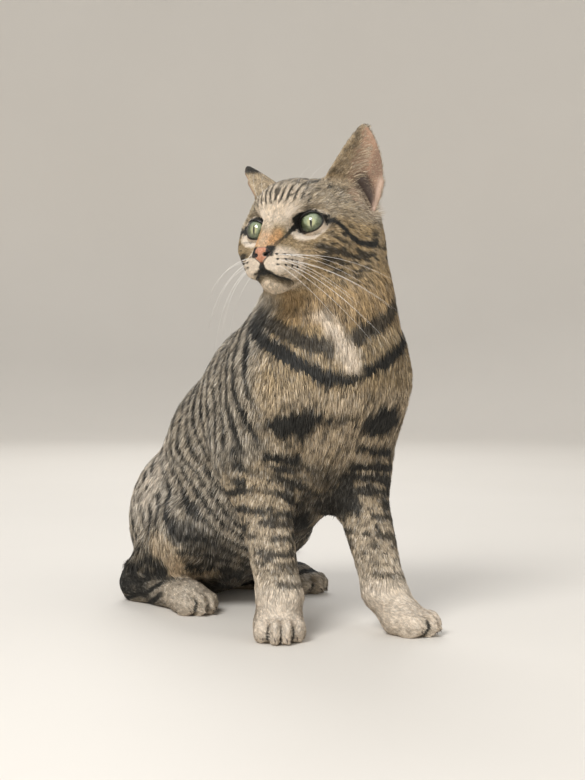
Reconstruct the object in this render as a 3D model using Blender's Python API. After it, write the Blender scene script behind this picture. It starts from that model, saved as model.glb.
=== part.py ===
"""A short-haired tabby cat, life size, sitting with its head turned to its right.

Metres, +Z up, the floor at Z = 0. The cat's chest faces -Y, so its left side is at +X. The origin
is on the floor under the rump, which is flat there.

The body is first modelled whole: every muscle mass is an ellipsoid or a cone with round ends, and
the smooth union of them all is the outline out to the tips of the coat. The ears are cupped sheets
joined to it, and the eyes sit in round sockets. Thin box-shaped cuts then part it into the pieces
that a person would name.
"""

import math

import bmesh
import bpy
import numpy as np
from mathutils import Matrix, Vector

GAP = 0.0003  # between neighbouring solids
VOXEL = 0.0024  # of the blank that is drawn onto the smooth union
BODY_TRIANGLES = 4250

HIP_HEIGHT = 0.0525
NECK_TOP = Vector((0.0036, -0.2075, 0.287))
NAPE = Vector((0.012, -0.206, 0.306))
EYES = Vector((-0.040, -0.2195, 0.302))  # midway between the centres of the eyeballs
HEAD_YAW, HEAD_PITCH, HEAD_ROLL = -62.5, 6.5, 4.5  # degrees: turned right, nose up, left side up

EYE_RADIUS = 0.0105
EYE_SPACING = 0.045  # between the centres of the eyeballs

EAR_WIDTH, EAR_DEPTH, EAR_BOW = 0.049, 0.017, 0.004
EAR_THICKNESS = (0.0036, 0.0022)  # in the middle and along the rim
EAR_ROWS, EAR_COLUMNS = 9, 11

TAIL_START = Vector((0.004, 0.038, 0.026))
TAIL_RADII = (0.0165, 0.0100)  # at its root and at its tip
TAIL_LENGTH, TAIL_SPANS = 0.255, 12
TAIL_HEADINGS = (78.0, -17.0)  # degrees from +X towards +Y, at its root and at its tip

FACING = Matrix(((1, 0, 0), (0, -1, 0), (0, 0, 1)))  # left, forward and up of what faces -Y


class Place:
    """An origin, with directions left, forward and up as the columns of axes."""

    def __init__(self, origin, turn):
        self.origin, self.turn = Vector(origin), turn
        self.axes = turn @ FACING

    def at(self, left, forward, up):
        return self.origin + self.axes @ Vector((left, forward, up))


def facing(origin, yaw=0.0, pitch=0.0, roll=0.0, inside=None):
    """A place that faces -Y, or what inside faces, and then turns, in degrees.

    Yaw turns it to its left, pitch lifts its front, and roll lifts its left side.
    """
    turn = (
        Matrix.Rotation(math.radians(yaw), 3, "Z")
        @ Matrix.Rotation(math.radians(-pitch), 3, "X")
        @ Matrix.Rotation(math.radians(-roll), 3, "Y")
    )
    return Place(origin, inside.turn @ turn if inside else turn)


def standing(start, end):
    """A place at start whose up runs towards end, and whose left is as near to +X as can be."""
    up = (Vector(end) - Vector(start)).normalized()
    back = up.cross(Vector((1, 0, 0))).normalized()
    left = back.cross(up)
    return Place(start, Matrix((left, back, up)).transposed())


HEAD = facing(EYES, HEAD_YAW, HEAD_PITCH, HEAD_ROLL)
ROW = facing((0, 0, 0))


class Ball:
    """An ellipsoid with its radii along left, forward and up of its place."""

    def __init__(self, centre, radii, blend, place=ROW):
        self.centre, self.radii, self.blend = np.array(centre), np.array(radii), blend
        self.axes = np.array(place.axes)

    def distance(self, points):
        local = (points - self.centre) @ self.axes
        reach = np.linalg.norm(local / self.radii, axis=1)
        slope = np.linalg.norm(local / self.radii**2, axis=1)
        return reach * (reach - 1.0) / np.maximum(slope, 1e-9)

    def add_to(self, mesh):
        for vert in bmesh.ops.create_icosphere(mesh, subdivisions=3, radius=1.0)["verts"]:
            vert.co = Vector(self.centre + self.axes @ (np.array(vert.co) * self.radii))


class Cone:
    """A cone with round ends, from start to end, with a radius at each."""

    def __init__(self, start, end, start_radius, end_radius, blend):
        self.start, self.end = np.array(start), np.array(end)
        self.radii, self.blend = (start_radius, end_radius), blend

    def distance(self, points):
        axis = self.end - self.start
        share = np.clip((points - self.start) @ axis / (axis @ axis), 0.0, 1.0)
        nearest = self.start + share[:, None] * axis
        radius = self.radii[0] + share * (self.radii[1] - self.radii[0])
        return np.linalg.norm(points - nearest, axis=1) - radius

    def add_to(self, mesh):
        for vert in bmesh.ops.create_icosphere(mesh, subdivisions=3, radius=1.0)["verts"]:
            outward = np.array(vert.co)
            far = outward @ (self.end - self.start) > 0
            centre = self.end if far else self.start
            vert.co = Vector(centre + outward * self.radii[int(far)])


# Head, neck and trunk.


def head_masses():
    """Masses placed left, forward and up of the point midway between the eyes."""

    def ball(left, forward, up, radii, blend):
        return Ball(HEAD.at(left, forward, up), radii, blend, HEAD)

    bridge = Cone(HEAD.at(0, 0.005, 0.004), HEAD.at(0, 0.029, -0.020), 0.0135, 0.0088, 0.010)
    masses = [
        ball(0, -0.030, 0.008, (0.036, 0.040, 0.033), 0.012),  # cranium
        ball(0, -0.005, 0.016, (0.027, 0.020, 0.018), 0.014),  # forehead
        bridge,
        ball(0, 0.018, -0.032, (0.0185, 0.0185, 0.0130), 0.010),  # muzzle
        ball(0, 0.0190, -0.0445, (0.0100, 0.0115, 0.0080), 0.008),  # chin
        ball(0, -0.018, -0.026, (0.030, 0.034, 0.021), 0.014),  # jaw
    ]
    for side in (-1, 1):
        eye = side * EYE_SPACING / 2
        masses += [
            ball(side * 0.0270, -0.012, -0.011, (0.0175, 0.0235, 0.0210), 0.010),  # cheek
            ball(eye * 1.1, -0.0092, 0.000, (0.0175, 0.0140, 0.0150), 0.005),  # orbit
            ball(side * 0.019, -0.006, 0.013, (0.0130, 0.0105, 0.0080), 0.008),  # brow
            ball(side * 0.0090, 0.0270, -0.0330, (0.0105, 0.0105, 0.0088), 0.005),  # whisker pad
            ball(side * 0.024, -0.034, 0.018, (0.0165, 0.0170, 0.0160), 0.014),  # ear root
        ]
    masses.append(ball(0, 0.0365, -0.0262, (0.0075, 0.0048, 0.0054), 0.003))  # nose leather
    return masses


def trunk_masses():
    return [
        Ball((0, -0.006, HIP_HEIGHT), (0.051, 0.049, 0.056), 0.020),  # pelvis
        Cone((0, -0.027, 0.082), (0, -0.085, 0.137), 0.052, 0.049, 0.03),  # loin
        Cone((0, -0.088, 0.136), (0.001, -0.150, 0.176), 0.050, 0.054, 0.03),  # ribs
        Cone((0.001, -0.150, 0.176), (0.003, -0.198, 0.193), 0.053, 0.049, 0.03),  # chest
        Cone((0.002, -0.152, 0.108), (0, -0.060, 0.062), 0.040, 0.048, 0.03),  # belly
        Cone((0.003, -0.212, 0.180), (0.003, -0.190, 0.138), 0.038, 0.034, 0.02),  # breast
        Cone((0.007, -0.204, 0.217), NECK_TOP, 0.055, 0.041, 0.03),  # neck
        Cone((0.008, -0.205, 0.248), NAPE, 0.039, 0.032, 0.02),  # nape
    ]


# Each leg: its joints, and its paw's place on the floor and the way the paw points.

LEGS = {
    "right": {
        "side": -1,
        "shoulder": (-0.040, -0.205, 0.185),
        "elbow": (-0.041, -0.180, 0.122),
        "wrist": (-0.048, -0.222, 0.030),
        "forepaw": facing((-0.053, -0.228, 0), -27),
        "hip": (-0.028, -0.016, 0.074),
        "knee": (-0.050, -0.082, 0.064),
        "hock": (-0.058, -0.018, 0.0145),
        "hindpaw": facing((-0.052, -0.095, 0), 7),
    },
    "left": {
        "side": 1,
        "shoulder": (0.035, -0.212, 0.185),
        "elbow": (0.042, -0.190, 0.120),
        "wrist": (0.033, -0.242, 0.030),
        "forepaw": facing((0.039, -0.261, 0), 30),
        "hip": (0.028, -0.016, 0.074),
        "knee": (0.050, -0.072, 0.064),
        "hock": (0.046, -0.008, 0.0145),
        "hindpaw": facing((0.078, -0.058, 0), 27),
    },
}
# Each toe is across, ahead and size, as shares of the paw.
TOES = ((-1.0, 0.20, 0.92), (-0.34, 0.42, 1.0), (0.34, 0.42, 1.0), (1.0, 0.20, 0.92))
FOREPAW = (0.0185, 0.038, 0.024)  # half width, length and height
HINDPAW = (0.0180, 0.036, 0.023)


def paw_masses(place, half_width, length, height):
    """A pad with four toes before it."""
    pad = (half_width, length * 0.42, height * 0.52)
    masses = [Ball(place.at(0, -0.002, height * 0.48), pad, 0.008, place)]
    for across, ahead, size in TOES:
        toe = place.at(across * half_width * 0.72, ahead * length, height * 0.36 * size)
        radii = (half_width * 0.34, length * 0.27, height * 0.44 * size)
        masses.append(Ball(toe, radii, 0.003, place))
    return masses


def foreleg_masses(leg):
    wrist, elbow, shoulder = (Vector(leg[name]) for name in ("wrist", "elbow", "shoulder"))
    blade = shoulder + Vector((leg["side"] * 0.001, 0.010, 0.005))
    return [
        Ball(blade, (0.021, 0.034, 0.046), 0.02),
        Cone(shoulder, elbow, 0.026, 0.024, 0.03),  # upper arm
        Ball(elbow + Vector((0, 0.018, 0.018)), (0.020, 0.026, 0.030), 0.02),  # back of the arm
        Cone(elbow, wrist, 0.0215, 0.0150, 0.02),  # forearm
        Cone(wrist, leg["forepaw"].at(0, -0.004, 0.012), 0.0150, 0.0130, 0.010),
        *paw_masses(leg["forepaw"], *FOREPAW),
    ]


def hindleg_masses(leg):
    hip, knee, hock = (Vector(leg[name]) for name in ("hip", "knee", "hock"))
    thigh = (hip + knee) / 2 + Vector((0, 0.006, 0.002))
    return [
        Ball(thigh, (0.024, 0.050, 0.050), 0.015),
        Cone(knee, hock, 0.025, 0.0155, 0.015),  # shank
        Cone(hock, leg["hindpaw"].at(0, -0.006, 0.0120), 0.0155, 0.0125, 0.012),  # long foot
        *paw_masses(leg["hindpaw"], *HINDPAW),
    ]


def tail_points():
    """Points along the tail, which comes down to the floor while its heading swings to the left."""
    points = [TAIL_START]
    for share in np.linspace(0, 1, TAIL_SPANS):
        heading = math.radians(TAIL_HEADINGS[0] + (TAIL_HEADINGS[1] - TAIL_HEADINGS[0]) * share)
        step = Vector((math.cos(heading), math.sin(heading), 0)) * TAIL_LENGTH / TAIL_SPANS
        radius = TAIL_RADII[0] + (TAIL_RADII[1] - TAIL_RADII[0]) * share
        ahead = points[-1] + step
        ahead.z = max(radius - 0.001, points[-1].z - 0.006)
        points.append(ahead)
    return points


def tail_masses():
    points = tail_points()
    radii = np.linspace(*TAIL_RADII, len(points))
    return [
        Cone(start, end, start_radius, end_radius, 0.004)
        for start, end, start_radius, end_radius in zip(points, points[1:], radii, radii[1:])
    ]


def body_masses():
    masses = trunk_masses() + head_masses()
    for leg in LEGS.values():
        masses += foreleg_masses(leg) + hindleg_masses(leg)
    return masses + tail_masses()


# The smooth union, and the mesh that is drawn onto it.


def union_distance(points, masses):
    """Distance to the smooth union of the masses, which bulges where two of them meet."""
    nearest = masses[0].distance(points)
    for mass in masses[1:]:
        other = mass.distance(points)
        overlap = np.maximum(mass.blend - np.abs(nearest - other), 0.0) / mass.blend
        nearest = np.minimum(nearest, other) - overlap**2 * mass.blend / 4
    return nearest


def drawn_onto(points, masses, steps=5, probe=0.0002, longest=0.004):
    """The points moved along the distance's gradient until they lie on the smooth union."""
    for _ in range(steps):
        here = union_distance(points, masses)
        slopes = [
            (union_distance(points + probe * axis, masses) - here) / probe for axis in np.eye(3)
        ]
        slope = np.stack(slopes, axis=1)
        share = here / np.maximum((slope**2).sum(axis=1), 0.25)
        points = points - np.clip(share, -longest, longest)[:, None] * slope
    return points


def new_object(name, mesh):
    """An object of a closed bmesh, which this turns outwards and frees."""
    mesh.normal_update()
    bmesh.ops.recalc_face_normals(mesh, faces=mesh.faces)
    data = bpy.data.meshes.new(name)
    mesh.to_mesh(data)
    mesh.free()
    made = bpy.data.objects.new(name, data)
    bpy.context.scene.collection.objects.link(made)
    return made


def with_modifier(target, kind, **settings):
    """The object with a modifier added and applied."""
    modifier = target.modifiers.new(kind.title(), kind)
    for key, value in settings.items():
        setattr(modifier, key, value)
    graph = bpy.context.evaluated_depsgraph_get()
    mesh = bpy.data.meshes.new_from_object(target.evaluated_get(graph))
    target.modifiers.clear()
    target.data = mesh
    return target


def combined(target, operation, other):
    """The target after a Boolean with other, which is then removed."""
    with_modifier(target, "BOOLEAN", operation=operation, object=other, solver="MANIFOLD")
    bpy.data.objects.remove(other)
    return target


def whole_body():
    """The blank of all masses, remeshed, drawn onto the smooth union and thinned out."""
    masses = body_masses()
    mesh = bmesh.new()
    for mass in masses:
        mass.add_to(mesh)
    body = with_modifier(new_object("trunk", mesh), "REMESH", mode="VOXEL", voxel_size=VOXEL)
    points = np.empty(len(body.data.vertices) * 3)
    body.data.vertices.foreach_get("co", points)
    points = drawn_onto(points.reshape(-1, 3), masses)
    body.data.vertices.foreach_set("co", points.ravel())
    share = BODY_TRIANGLES / (2 * len(body.data.polygons))
    return with_modifier(body, "DECIMATE", ratio=share)


# Each ear is a cup round the axis from its root to its tip, open towards one side, all in the head's
# directions. The left ear is pricked, and the right one is turned outwards. It is parted from the
# head by a plane through cut, which is tilted outwards.

EARS = {
    "left": {
        "side": 1,
        "root": (0.031, -0.030, 0.018),
        "tip": (0.0506, -0.031, 0.079),
        "open": (0.6, 0.8, 0),
        "cut": (0.0285, -0.030, 0.031),
        "tilt": -39,
    },
    "right": {
        "side": -1,
        "root": (-0.024, -0.034, 0.018),
        "tip": (-0.0535, -0.031, 0.061),
        "open": (-0.9, -0.1, 0),
        "cut": (-0.0285, -0.030, 0.031),
        "tilt": 40,
    },
}


def ear_point(along, across, hollow, side):
    """(left, forward) of a point of the cup's back, or of its hollow side."""
    half = (EAR_WIDTH / 2 - (0.0006 if hollow else 0)) * (1 - along**1.7) ** 0.7
    depth = EAR_DEPTH * (1 - along) ** 1.1 + 0.002
    middle, rim = EAR_THICKNESS
    wall = rim + (middle - rim) * (1 - across**2) if hollow else 0
    bow = side * EAR_BOW * math.sin(math.pi * along)
    return half * across + bow, wall - depth * (1 - across**2)


def ear_sheet(mesh, ear, hollow):
    """One side of an ear, as rows of vertices from its root to its tip."""
    root, tip = HEAD.at(*ear["root"]), HEAD.at(*ear["tip"])
    up = (tip - root).normalized()
    opening = HEAD.axes @ Vector(ear["open"])
    opening = (opening - opening.dot(up) * up).normalized()
    rows = []
    for along in np.linspace(0, 0.98, EAR_ROWS):
        row = []
        for across in np.linspace(-1, 1, EAR_COLUMNS):
            left, forward = ear_point(along, across, hollow, ear["side"])
            point = root + up.cross(opening) * left + opening * forward + (tip - root) * along
            row.append(mesh.verts.new(point))
        rows.append(row)
    return rows


def ear_object(ear):
    """The cup: its two sides as grids of faces, and a strip of faces round their edges."""
    mesh = bmesh.new()
    sheets = [ear_sheet(mesh, ear, hollow) for hollow in (False, True)]
    for rows in sheets:
        for low, high in zip(rows, rows[1:]):
            for a, b, c, d in zip(low, low[1:], high[1:], high):
                mesh.faces.new((a, b, c, d))
    rims = [
        rows[0] + [row[-1] for row in rows[1:]] + rows[-1][-2::-1] + [r[0] for r in rows[-2:0:-1]]
        for rows in sheets
    ]
    back, front = rims
    for i, j in zip(range(len(back)), [*range(1, len(back)), 0]):
        mesh.faces.new((back[i], back[j], front[j], front[i]))
    return new_object("ear", mesh)


# Cuts.


def box_object(place, low, high, grow=0.0):
    """A box between two corners given in the place's left, forward and up, grown on all sides."""
    low, high = (Vector(corner) for corner in (low, high))
    mesh = bmesh.new()
    bmesh.ops.create_cube(mesh, size=1.0)
    for vert in mesh.verts:
        corner = [high[i] + grow if vert.co[i] > 0 else low[i] - grow for i in range(3)]
        vert.co = place.at(*corner)
    return new_object("cutter", mesh)


def part_off(body, name, place, low, high):
    """Cuts what lies in a box off the body, as an object of its own, and leaves a gap between."""
    piece = body.copy()
    bpy.context.scene.collection.objects.link(piece)
    piece.name = name
    combined(piece, "INTERSECT", box_object(place, low, high))
    combined(body, "DIFFERENCE", box_object(place, low, high, GAP))
    return piece


def sphere_object(name, centre, radius):
    mesh = bmesh.new()
    bmesh.ops.create_icosphere(
        mesh, subdivisions=3, radius=radius, matrix=Matrix.Translation(centre)
    )
    return new_object(name, mesh)


def set_eyes(body):
    """Round sockets, with a ball in each."""
    for side, name in ((-1, "eye_right"), (1, "eye_left")):
        centre = HEAD.at(side * EYE_SPACING / 2, 0, 0)
        combined(body, "DIFFERENCE", sphere_object("socket", centre, EYE_RADIUS + GAP))
        sphere_object(name, centre, EYE_RADIUS)


def part_head(body):
    for name, ear in EARS.items():
        cut = facing(HEAD.at(*ear["cut"]), roll=ear["tilt"], inside=HEAD)
        part_off(body, f"ear_{name}", cut, (-0.028, -0.030, 0), (0.028, 0.030, 0.070))
    part_off(body, "nose", HEAD, (-0.0080, 0.0350, -0.0322), (0.0080, 0.0450, -0.0200))
    under_jaw = facing(HEAD.at(0, -0.020, -0.038), pitch=-22, inside=HEAD)
    part_off(body, "head", under_jaw, (-0.080, -0.090, 0), (0.080, 0.090, 0.150))
    shoulders = facing((0.004, -0.185, 0.222), pitch=-20)
    part_off(body, "neck", shoulders, (-0.090, -0.090, 0), (0.090, 0.120, 0.120))


def part_legs(body):
    """Each piece is cut before the one above it, so a box may reach up into what is left."""
    for name, leg in LEGS.items():
        paw = leg["forepaw"]
        part_off(body, f"forepaw_{name}", paw, (-0.030, -0.034, -0.010), (0.030, 0.040, 0.026))
        shin = standing(leg["wrist"], leg["elbow"])
        length = (Vector(leg["elbow"]) - Vector(leg["wrist"])).length
        part_off(body, f"foreleg_{name}", shin, (-0.030, -0.040, -0.030), (0.030, 0.040, length))
        toes, heel = leg["hindpaw"].origin, Vector(leg["hock"])
        foot = facing(toes, yaw=math.degrees(math.atan2(toes.x - heel.x, heel.y - toes.y)))
        back = -math.hypot(toes.x - heel.x, toes.y - heel.y) - 0.020
        part_off(body, f"hindfoot_{name}", foot, (-0.026, back, -0.010), (0.026, 0.040, 0.026))
        hip = facing((leg["side"] * 0.058, -0.045, 0.026))
        part_off(body, f"thigh_{name}", hip, (-0.030, -0.064, 0), (0.030, 0.066, 0.098))


def part_tail(body):
    """Three lengths, cut off from the tip, each from a numbered point of the tail."""
    points = tail_points()
    for name, start in (("tail_tip", 8), ("tail_middle", 4), ("tail_root", 0)):
        ahead = points[start + 1] - points[start]
        cut = facing(points[start], yaw=math.degrees(math.atan2(ahead.x, -ahead.y)))
        part_off(body, name, cut, (-0.120, 0.004, -0.080), (0.120, 0.250, 0.060))


# Finish.

COAT = (0.33, 0.28, 0.22)
COLOURS = {
    "trunk": (0.27, 0.24, 0.20),
    "neck": (0.34, 0.28, 0.20),
    "head": (0.40, 0.32, 0.24),
    "nose": (0.45, 0.20, 0.14),
    "ear": (0.36, 0.27, 0.22),
    "eye": (0.40, 0.52, 0.24),
    "foreleg": (0.40, 0.33, 0.24),
    "forepaw": (0.62, 0.54, 0.44),
    "thigh": (0.30, 0.27, 0.23),
    "hindfoot": (0.58, 0.50, 0.40),
    "tail": (0.22, 0.19, 0.16),
}
ROUGHNESS = {"eye": 0.08, "nose": 0.45}


def finish(target):
    """A material of the piece's own, with the colour of its kind, and smooth shading."""
    kind = target.name.split("_")[0]
    material = bpy.data.materials.new(target.name)
    material.use_nodes = True
    shader = material.node_tree.nodes["Principled BSDF"]
    shader.inputs["Base Color"].default_value = (*COLOURS.get(kind, COAT), 1)
    shader.inputs["Roughness"].default_value = ROUGHNESS.get(kind, 0.9)
    target.data.materials.clear()
    target.data.materials.append(material)
    target.data.shade_smooth()
    target.data.set_sharp_from_angle(angle=math.radians(45))


def main():
    for old in list(bpy.data.objects):
        bpy.data.objects.remove(old)
    body = whole_body()
    for ear in EARS.values():
        combined(body, "UNION", ear_object(ear))
    combined(body, "DIFFERENCE", box_object(ROW, (-0.5, -0.5, -0.1), (0.5, 0.5, 0)))
    set_eyes(body)
    part_tail(body)
    part_head(body)
    part_legs(body)
    for target in bpy.context.scene.objects:
        finish(target)


main()
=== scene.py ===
import functools
import itertools
import math

import bmesh
import bpy
import numpy as np
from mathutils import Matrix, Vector
from mathutils.bvhtree import BVHTree


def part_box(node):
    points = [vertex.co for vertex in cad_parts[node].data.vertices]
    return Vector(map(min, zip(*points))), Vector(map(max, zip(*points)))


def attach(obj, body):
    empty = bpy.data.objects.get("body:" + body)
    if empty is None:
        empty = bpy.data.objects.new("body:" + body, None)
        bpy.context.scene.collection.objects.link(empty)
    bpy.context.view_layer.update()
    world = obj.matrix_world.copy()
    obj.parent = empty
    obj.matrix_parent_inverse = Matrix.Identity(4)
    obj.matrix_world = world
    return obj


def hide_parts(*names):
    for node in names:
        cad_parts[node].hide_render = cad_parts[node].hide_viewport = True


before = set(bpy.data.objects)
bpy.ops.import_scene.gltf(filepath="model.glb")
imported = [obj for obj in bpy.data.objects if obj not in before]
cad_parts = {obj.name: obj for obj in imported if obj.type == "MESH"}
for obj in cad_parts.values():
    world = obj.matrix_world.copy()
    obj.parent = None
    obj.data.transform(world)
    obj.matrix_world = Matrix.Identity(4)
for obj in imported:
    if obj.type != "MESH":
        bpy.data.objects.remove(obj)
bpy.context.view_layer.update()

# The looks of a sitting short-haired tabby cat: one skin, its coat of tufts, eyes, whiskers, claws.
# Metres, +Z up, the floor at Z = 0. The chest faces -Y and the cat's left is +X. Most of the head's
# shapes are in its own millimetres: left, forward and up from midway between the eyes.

MM = 0.001
RANDOM = np.random.default_rng(11)

SEAM = 0.0003  # what each solid grows by, so that the skin closes over the gaps
VOXEL = 0.0016
BODY_SHARE = 0.34  # of the faces away from the head that the skin keeps
FACE_REACH = 72  # from the face's middle, in millimetres, within which it keeps them all
SHRINK, SWELL = 0.5, 0.52  # shares of the way to the neighbours' mean in each smoothing step
SMOOTHING_STEPS, BORDER_STEPS = 12, 14  # for the skin's form, and for the borders between kinds

EYE_TURN = 12.0  # degrees that each eye looks outwards
EYE_SLANT = 17.0  # degrees that its outer corner is raised
NOSE_DROP = 35.8  # degrees from straight ahead down to the nose
LIMBUS, LIMBUS_DEPTH = 8.3, 6.0  # radius of the cornea's edge, and how far before the eye's centre
CORNEA_FRONT = 11.2
LID = 1.0  # thickness of the lids


def unit(vectors):
    return vectors / most(np.linalg.norm(vectors, axis=-1, keepdims=True), 1e-12)


def smooth(low, high, value):
    """0 below low, 1 above high, and a smooth rise between. It falls where high is under low."""
    share = np.clip((np.asarray(value, float) - low) / (high - low), 0.0, 1.0)
    return share * share * (3.0 - 2.0 * share)


def within(low, full, still, high, value):
    """1 from full to still, and falling to 0 at low and at high."""
    return smooth(low, full, value) * smooth(high, still, value)


def mixed(first, second, share):
    return first + (second - first) * share


def columns(*values):
    return np.stack(np.broadcast_arrays(*values), axis=1)


def most(*values):
    return functools.reduce(np.maximum, values)


def groove(offset, half_width):
    return np.exp(-((offset / half_width) ** 2))


class Place:
    """An origin with directions left, forward and up, and its points in millimetres."""

    def __init__(self, origin, left, forward):
        self.origin = np.array(origin, float)
        self.axes = np.array([left, forward, np.cross(forward, left)], float)

    def local(self, points):
        return (points - self.origin) @ self.axes.T / MM

    def world(self, local):
        return self.origin + np.asarray(local, float) * MM @ self.axes

    def direction(self, local):
        return np.asarray(local, float) @ self.axes


def turned(vector, axis, degrees):
    """The vector turned about a unit axis at right angles to it."""
    angle = math.radians(degrees)
    return math.cos(angle) * vector + math.sin(angle) * np.cross(axis, vector)


def box_of(node):
    return [np.array(corner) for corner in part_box(node)]


def centre(node):
    return sum(box_of(node)) / 2


def head_place():
    """From the eyes and the nose, which lies NOSE_DROP under straight ahead."""
    left = unit(centre("eye_left") - centre("eye_right"))
    middle = (centre("eye_left") + centre("eye_right")) / 2
    nose = centre("nose") - middle
    nose = unit(nose - left * (nose @ left))
    return Place(middle, left, turned(nose, left, -NOSE_DROP))


HEAD = head_place()


def eye_place(side):
    """At the eye's centre, facing where it looks, with left towards the outer corner."""
    forward = turned(HEAD.axes[1], HEAD.axes[2], EYE_TURN * side)
    outward = turned(HEAD.axes[0] * side, HEAD.axes[2], EYE_TURN * side)
    place = Place(centre("eye_left" if side > 0 else "eye_right"), outward, forward)
    place.axes[2] = HEAD.axes[2]
    slanted = math.radians(EYE_SLANT)
    across, up = place.axes[0].copy(), place.axes[2].copy()
    place.axes[0] = math.cos(slanted) * across + math.sin(slanted) * up
    place.axes[2] = math.cos(slanted) * up - math.sin(slanted) * across
    return place


EYES = {"left": eye_place(1), "right": eye_place(-1)}


def mirrored(points):
    """Points in the head's directions, with its right side laid over the left."""
    side = HEAD.local(points)
    side[:, 0] = np.abs(side[:, 0])
    return side


FOOT_YAWS = {"forepaw_left": 30, "forepaw_right": -27, "hindfoot_left": 27, "hindfoot_right": 7}
TOES = (-12.5, -4.4, 4.4, 12.5)  # each toe's place across a foot, in millimetres
EAR_HOLLOW = ((41, -43, 39), (47, -42, 21))  # the left ear's, from its top to its bottom
EAR_FOLD = ((50, -44, 18), (57, -43, 36))
TOE_GAP_DEPTH, HOLLOW_DEPTH, FOLD_HEIGHT = 1.1, 4.5, 1.5  # millimetres


# Meshes as arrays.


def taken(items, name, width, kind):
    """One property of a mesh's items, a row for each."""
    values = np.empty(len(items) * width, kind)
    items.foreach_get(name, values)
    return values.reshape(-1, width)


def arrays_of(mesh):
    """A mesh's points and triangles."""
    mesh.calc_loop_triangles()
    points = taken(mesh.vertices, "co", 3, np.float32).astype(float)
    return points, taken(mesh.loop_triangles, "vertices", 3, np.int32)


def welded(points, faces, reach=1e-6):
    keys = np.round(points / reach).astype(np.int64)
    _, first, index = np.unique(keys, axis=0, return_index=True, return_inverse=True)
    return points[first], index.reshape(-1)[faces]


def summed(index, values, count):
    """The values added up by index, column by column."""
    values = values.reshape(len(index), -1)
    return np.stack([np.bincount(index, column, count) for column in values.T], axis=1)


def flats(points, faces):
    """Each triangle's normal, as long as twice its area."""
    corners = points[faces]
    return np.cross(corners[:, 1] - corners[:, 0], corners[:, 2] - corners[:, 0])


def normals_of(points, faces):
    flat = flats(points, faces)
    return unit(sum(summed(faces[:, i], flat, len(points)) for i in range(3)))


def edges_of(faces):
    pairs = np.concatenate([faces[:, [0, 1]], faces[:, [1, 2]], faces[:, [2, 0]]])
    return np.unique(np.sort(pairs, axis=1), axis=0)


def neighbours_mean(values, edges):
    values = values.reshape(len(values), -1)
    both = np.concatenate([edges, edges[:, ::-1]])
    count = np.bincount(both[:, 0], minlength=len(values))
    return summed(both[:, 0], values[both[:, 1]], len(values)) / most(count, 1)[:, None]


def relaxed(values, edges, steps):
    values = values.reshape(len(values), -1)
    for _ in range(steps):
        values = (values + neighbours_mean(values, edges)) / 2
    return values


def without_facets(points, edges, steps):
    """The points smoothed by steps that shrink and then swell, so that the form keeps its size."""
    for _ in range(steps):
        for share in (SHRINK, -SWELL):
            points = points + share * (neighbours_mean(points, edges) - points)
    return points


def new_piece(name, points, faces):
    """An object of triangles, smooth."""
    mesh = bpy.data.meshes.new(name)
    mesh.vertices.add(len(points))
    mesh.vertices.foreach_set("co", np.asarray(points, np.float32).ravel())
    mesh.loops.add(faces.size)
    mesh.loops.foreach_set("vertex_index", faces.astype(np.int32).ravel())
    mesh.polygons.add(len(faces))
    mesh.polygons.foreach_set("loop_start", np.arange(0, faces.size, 3, dtype=np.int32))
    mesh.update(calc_edges=True)
    mesh.shade_smooth()
    piece = bpy.data.objects.new(name, mesh)
    bpy.context.scene.collection.objects.link(piece)
    return piece


def set_attribute(piece, name, values):
    """A vector for each vertex, which the materials read by name."""
    attribute = piece.data.attributes.new(name, "FLOAT_VECTOR", "POINT")
    attribute.data.foreach_set("vector", np.asarray(values, np.float32).ravel())


def set_bake_map(piece, places):
    """The OFBake map, from a place for each vertex."""
    layer = piece.data.uv_layers.new(name="OFBake")
    corners = taken(piece.data.loops, "vertex_index", 1, np.int32)[:, 0]
    layer.data.foreach_set("uv", places[corners].astype(np.float32).ravel())


def apply_modifier(piece, kind, **settings):
    modifier = piece.modifiers.new(kind.title(), kind)
    for key, value in settings.items():
        setattr(modifier, key, value)
    graph = bpy.context.evaluated_depsgraph_get()
    mesh = bpy.data.meshes.new_from_object(piece.evaluated_get(graph))
    piece.modifiers.clear()
    piece.data = mesh


def foot_place(node):
    """On the floor between the toes' tips, facing as the foot points."""
    yaw = math.radians(FOOT_YAWS[node])
    forward = np.array((math.sin(yaw), -math.cos(yaw), 0.0))
    left = np.array((math.cos(yaw), math.sin(yaw), 0.0))
    points, _ = arrays_of(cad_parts[node].data)
    along = points @ forward
    tips = points[along > along.max() - 0.016] @ left
    return Place(forward * along.max() + left * np.percentile(tips, (4, 96)).mean(), left, forward)


FEET = {node: foot_place(node) for node in FOOT_YAWS}


def toe_gaps(points):
    """How much each point lies between two toes."""
    gap = np.zeros(len(points))
    for place in FEET.values():
        foot = place.local(points)
        near = (np.abs(foot[:, 0]) < 18) & (foot[:, 1] < 8) & (foot[:, 2] < 20)
        for offset in np.add(TOES[1:], TOES[:-1]) / 2:
            front = smooth(-14, -6, foot[:, 1] + 0.35 * abs(offset))
            gap = most(gap, near * front * groove(foot[:, 0] - offset, 1.0))
    return gap


# Forms of the face, in millimetres.


def opening_reach(angle):
    """From an eye's middle to its lids' edge, at an angle from its outer corner up."""
    across, up = np.cos(angle), np.sin(angle)
    wide = np.where(across > 0, 8.7, 10.2)
    high = np.where(up > 0, 7.3, 7.1)
    corner = np.where(across > 0, 0.03, 0.10) * across**8
    return (1 + corner) / np.hypot(across / wide, up / high)


def beyond_lid(eye):
    """How far points of an eye's place lie outside its opening, and the angle they lie at."""
    angle = np.arctan2(eye[:, 2], eye[:, 0])
    return np.hypot(eye[:, 0], eye[:, 2]) - opening_reach(angle), angle


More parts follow.
